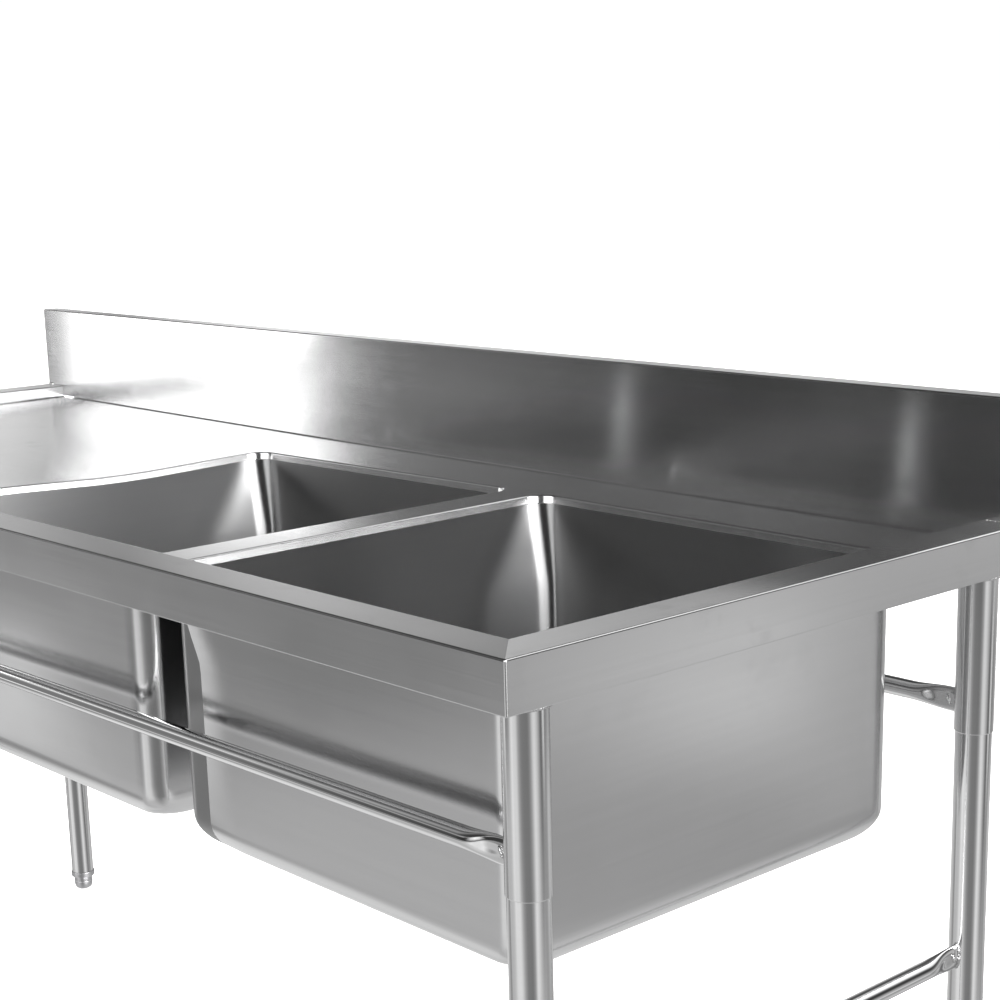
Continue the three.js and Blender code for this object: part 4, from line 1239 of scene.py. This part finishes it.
# The surroundings as the steel sees them, soft boxes and dark flags. Each row is an elevation
# and its (azimuth, brightness) stops, in degrees; azimuth runs from -X towards -Y.
SURROUNDINGS = [
    (-88, [(-180, 0.75), (180, 0.75)]),
    (-45, [
        (-180, 0.8), (-130, 0.8), (-70, 0.8), (-17, 0.7), (0, 0.9), (17, 0.95), (30, 0.66),
        (46, 0.64), (60, 0.75), (95, 0.7), (135, 0.4), (165, 0.65), (180, 0.8)]),
    (-34, [
        (-180, 0.9), (-150, 0.7), (-120, 0.6), (-70, 0.7), (-24, 0.9), (0, 1), (17, 0.9),
        (29, 0.64), (46, 0.62), (60, 0.8), (80, 0.95), (98, 0.9), (112, 0.55), (135, 0.3),
        (165, 0.6), (180, 0.9)]),
    (-27, [
        (-180, 1), (-168, 0.8), (-140, 0.62), (-124, 0.46), (-100, 0.45), (-60, 0.5),
        (-19, 0.85), (10, 0.5), (24, 0.3), (31, 0.56), (46, 0.64), (62, 0.8), (80, 1.05),
        (98, 0.95), (112, 0.55), (125, 0.3), (150, 0.24), (163, 0.4), (173, 0.95), (180, 1)]),
    (-19.5, [
        (-180, 1), (-170, 0.8), (-160, 0.45), (-150, 0.22), (-144, 0.22), (-137, 0.38),
        (-131, 0.32), (-127, 0.4), (-119, 0.4), (-108, 0.75), (-92, 0.7), (-62, 0.55),
        (-19, 0.8), (8, 0.56), (22, 0.25), (27, 0.75), (30, 0.75), (36, 0.68), (44, 0.7),
        (56, 0.72), (68, 1.15), (78, 0.95), (91, 1), (101, 0.55), (112, 0.32), (125, 0.26),
        (147, 0.26), (158, 0.42), (168, 0.75), (176, 1.05), (180, 1)]),
    (-16.5, [
        (-180, 0.95), (-168, 0.7), (-158, 0.45), (-150, 0.14), (-142, 0.16), (-138, 0.7),
        (-133, 1), (-129.5, 1.25), (-127.5, 0.6), (-125, 0.3), (-118, 0.3), (-110, 0.32),
        (-92, 0.55), (-60, 0.55), (-19, 0.6), (8, 0.44), (20, 0.9), (28, 1.35), (30, 0.45),
        (34, 0.22), (44, 0.3), (50, 0.35), (56, 0.55), (68, 1.1), (80, 0.95), (92, 0.85),
        (102, 0.45), (115, 0.28), (147, 0.24), (158, 0.4), (170, 0.9), (180, 0.95)]),
    (-14.6, [
        (-180, 0.95), (-158, 0.45), (-150, 0.14), (-142, 0.16), (-138, 0.66), (-133, 0.9),
        (-129.5, 1.15), (-127.5, 0.55), (-125, 0.3), (-120, 0.3), (-110, 0.32), (-92, 0.55),
        (-60, 0.55), (-19, 0.6), (8, 0.44), (20, 0.9), (28, 1.42), (29.2, 0.06), (33, 0.07),
        (36, 0.14), (44, 0.24), (50, 0.35), (56, 0.55), (68, 1.1), (80, 0.95), (92, 0.85),
        (102, 0.45), (115, 0.28), (147, 0.24), (158, 0.4), (170, 0.9), (180, 0.95)]),
    (-12.5, [
        (-180, 0.9), (-168, 0.66), (-150, 0.4), (-137, 0.4), (-131, 0.54), (-125, 0.72),
        (-110, 0.55), (-95, 0.55), (-60, 0.55), (-19, 0.45), (20, 0.36), (28, 0.28),
        (30.5, 0.27), (33, 0.4), (36, 0.45), (45, 0.47), (58, 0.45), (70, 1), (84, 0.85),
        (96, 0.5), (110, 0.24), (145, 0.2), (160, 0.38), (173, 1), (180, 0.9)]),
    (-8.2, [
        (-180, 0.85), (-160, 0.6), (-125, 0.62), (-100, 0.62), (-62, 0.6), (-20, 0.55),
        (18, 0.36), (28, 0.26), (36, 0.22), (41, 0.11), (55, 0.05), (72, 0.2), (86, 0.45),
        (100, 0.22), (145, 0.15), (170, 0.8), (180, 0.85)]),
    (-6.8, [
        (-180, 0.85), (-160, 0.6), (-100, 0.62), (-60, 0.62), (-20, 0.6), (20, 0.35),
        (28, 0.26), (36, 0.24), (37.6, 0.2), (40.5, 0.13), (46, 0.06), (55, 0.04), (72, 0.14),
        (86, 0.35), (100, 0.2), (145, 0.15), (170, 0.8), (180, 0.85)]),
    (9, [
        (-180, 12.1), (-167, 11.4), (-157, 15.2), (-152, 1.05), (-149.5, 0.101), (-146, 0.096),
        (-138, 0.036), (-110, 0.2), (-75, 0.5), (-55, 0.7), (-51, 0.95), (-46, 0.7),
        (-40, 1.1), (-36, 1.35), (-32.6, 0.9), (-31.2, 0.25), (-28, 0.9), (-22, 1.2),
        (10, 0.8), (24, 0.35), (30, 0.26), (36, 0.24), (37.8, 0.2), (40.5, 0.14), (46, 0.05),
        (58, 0.04), (72, 2.7), (106, 3.6), (122, 0.1), (150, 0.1), (157, 7.11), (180, 12.1)]),
    (14, [
        (-180, 15.8), (-157, 20.2), (-152, 1.47), (-149.5, 0.101), (-146, 0.09), (-138, 0.03),
        (-110, 0.16), (-75, 0.45), (-55, 0.6), (-50, 0.85), (-46, 0.6), (-40, 1), (-36, 1.2),
        (-32.6, 0.8), (-31, 0.3), (-27, 1.1), (-20, 0.8), (5, 0.6), (24, 0.5), (30, 0.5),
        (36, 0.45), (39, 0.6), (44, 0.45), (49, 0.6), (52, 0.35), (54, 0.1), (72, 3.3),
        (106, 5.1), (122, 0.1), (150, 0.1), (157, 9.29), (180, 15.8)]),
    (17, [
        (-180, 17.7), (-167, 15.6), (-157, 20.8), (-152, 1.57), (-149.5, 0.101), (-146, 0.084),
        (-138, 0.03), (-110, 0.14), (-75, 0.35), (-55, 0.4), (-36, 0.55), (-26, 0.4),
        (-5, 0.3), (20, 0.7), (27, 1.4), (32, 1.5), (35, 0.5), (38, 0.3), (43, 0.3), (49, 0.5),
        (52, 0.25), (58, 0.06), (72, 3.9), (106, 6), (122, 0.1), (150, 0.1), (157, 10.4),
        (180, 17.7)]),
    (20, [
        (-180, 18.3), (-167, 15.6), (-157, 20.8), (-152, 1.57), (-149.5, 0.101), (-146, 0.084),
        (-138, 0.03), (-110, 0.12), (-75, 0.3), (-55, 0.22), (-36, 0.22), (-26, 0.18),
        (0, 0.14), (20, 0.3), (27, 0.7), (32, 0.6), (38, 0.18), (42, 0.1), (58, 0.05),
        (72, 4.2), (106, 6.3), (122, 0.1), (150, 0.1), (157, 10.7), (180, 18.3)]),
    (28, [
        (-180, 18.3), (-167, 15.6), (-157, 20.8), (-152, 1.57), (-149.5, 0.101), (-146, 0.084),
        (-138, 0.03), (-128, 0.1), (-118, 0.9), (-104, 1.2), (-90, 0.3), (-75, 0.15),
        (-50, 0.1), (-26, 0.14), (-14, 0.06), (10, 0.12), (18, 0.18), (24, 0.22), (29, 0.6),
        (33, 0.4), (38, 0.14), (43, 0.06), (58, 0.05), (72, 4.2), (106, 6.3), (122, 0.1),
        (150, 0.1), (157, 10.7), (180, 18.3)]),
    (38, [
        (-180, 10.4), (-167, 11.4), (-157, 15.2), (-152, 1.05), (-149.5, 0.0756), (-146, 0.06),
        (-138, 0.03), (-128, 0.12), (-118, 1.6), (-85, 1.6), (-72, 0.12), (-50, 0.06),
        (-26, 0.08), (0, 0.12), (16, 0.1), (27, 0.3), (36, 0.14), (43, 0.05), (58, 0.05),
        (72, 2.7), (106, 3.6), (122, 0.1), (150, 0.1), (157, 6.11), (180, 10.4)]),
    (52, [
        (-180, 0.3), (-160, 0.3), (-149, 0.1), (-130, 0.08), (-118, 1.5), (-80, 1.5),
        (-65, 0.1), (-45, 0.05), (0, 0.07), (30, 0.07), (56, 0.06), (75, 0.2), (110, 0.2),
        (150, 0.15), (180, 0.3)]),
    (66, [
        (-180, 0.06), (-130, 0.1), (-110, 0.7), (-85, 0.7), (-60, 0.06), (0, 0.06),
        (60, 0.06), (130, 0.06), (180, 0.06)]),
    (88, [(-180, 0.05), (180, 0.05)]),
]
BRIGHTNESS_SCALE = 4.5          # ramp colours are divided by it, the strength restores it
BACKDROP = 1.02                 # plain white seen by the camera


def brightness_ramp(g, azimuth, stops):
    ramp = g.new("ShaderNodeValToRGB")
    elements = ramp.color_ramp.elements
    ramp.color_ramp.interpolation = "LINEAR"
    elements.remove(elements[-1])
    for i, (angle, brightness) in enumerate(stops):
        position = (angle + 180) / 360
        element = elements.new(position) if i else elements[0]
        element.position = position
        element.color = (*[brightness / BRIGHTNESS_SCALE] * 3, 1)
    return g.fill(ramp, azimuth)


def build_world():
    world = bpy.data.worlds.new("studio")
    bpy.context.scene.world = world
    world.use_nodes = True
    world.node_tree.nodes.clear()
    g = Nodes(world.node_tree)
    x, y, z = g.split(g.new("ShaderNodeTexCoord").outputs["Generated"])
    azimuth = g.math("ARCTAN2", g.times(y, -1.0), g.times(x, -1.0))
    azimuth = g.add(g.math("DIVIDE", azimuth, 2 * math.pi), 0.5)
    sine = g.math("MINIMUM", g.math("MAXIMUM", z, -0.9999), 0.9999)
    elevation = g.times(g.math("ARCSINE", sine), 180 / math.pi)
    color = below = None
    for height, stops in SURROUNDINGS:
        row = brightness_ramp(g, azimuth, stops)
        if color is None:
            color = row
        else:
            mix = g.new("ShaderNodeMix", data_type="RGBA")
            for i, value in ((0, g.remap(elevation, below, height)), (6, color), (7, row)):
                g.put(mix.inputs[i], value)
            color = mix.outputs[2]
        below = height
    studio = g.fill(g.new("ShaderNodeBackground"), color, BRIGHTNESS_SCALE)
    white = g.fill(g.new("ShaderNodeBackground"), (1, 1, 1, 1), BACKDROP)
    to_camera = g.new("ShaderNodeLightPath").outputs["Is Camera Ray"]
    shader = g.fill(g.new("ShaderNodeMixShader"), to_camera, studio, white)
    g.put(g.new("ShaderNodeOutputWorld").inputs[0], shader)


def build_strip_light():
    """Upright glowing panel to the left, seen only in the steel."""
    (x0, y0), (x1, y1) = (-3458.0, -1176.0), (-2603.0, -1465.0)
    z0, z1 = 400.0, 1900.0
    strip = stage_sheet("strip_light", [(x0, y0, z0), (x1, y1, z0), (x1, y1, z1), (x0, y0, z1)])
    material = bpy.data.materials.new("strip_light")
    material.use_nodes = True
    material.node_tree.nodes.clear()
    g = Nodes(material.node_tree)
    emission = g.new("ShaderNodeEmission")
    emission.inputs["Strength"].default_value = 3.6
    g.put(g.new("ShaderNodeOutputMaterial").inputs[0], emission.outputs[0])
    strip.data.materials.append(material)
    strip.visible_camera = False
    strip.visible_diffuse = False
    strip.visible_shadow = False


def build_softbox():
    """Overhead light; sizes and place in metres, energy in watts."""
    light = bpy.data.lights.new("overhead_softbox", "AREA")
    light.shape = "RECTANGLE"
    light.size, light.size_y = 5.0, 4.0
    light.energy = 420
    ob = bpy.data.objects.new("overhead_softbox", light)
    ob.location = (-0.6, -0.8, 4.2)
    bpy.context.scene.collection.objects.link(ob)
    ob.visible_glossy = False


# Rotation axis times angle in radians; the matrix rows are the view's right, down and forward
CAMERA_TURN = Vector((1.6972514904990295, 0.7287771848610114, -0.6084895921335562))
CAMERA_PLACE = Vector((HALF_X + 1029.8129, FRONT - 927.5154, RIM + 371.9621))


def build_camera():
    """Shifted-lens camera in front of the right end, above the rim."""
    camera = bpy.data.cameras.new("camera")
    camera.sensor_width = 36.0
    camera.sensor_fit = "HORIZONTAL"
    camera.lens = 70.2667584
    camera.shift_x = -0.0070271
    camera.shift_y = 0.1044097
    camera.clip_start, camera.clip_end = 0.05, 400.0    # metres
    ob = bpy.data.objects.new("camera", camera)
    bpy.context.scene.collection.objects.link(ob)
    right, down, forward = Matrix.Rotation(CAMERA_TURN.length, 3, CAMERA_TURN.normalized())
    turn = Matrix((right, -down, -forward)).transposed().to_4x4()
    ob.matrix_world = Matrix.Translation(CAMERA_PLACE * MM) @ turn
    bpy.context.scene.camera = ob


build_floor()
build_world()
build_strip_light()
build_softbox()
build_camera()

view = bpy.context.scene.view_settings
view.view_transform = "Standard"
view.look = "None"
view.exposure = 0.0
view.gamma = 1.0
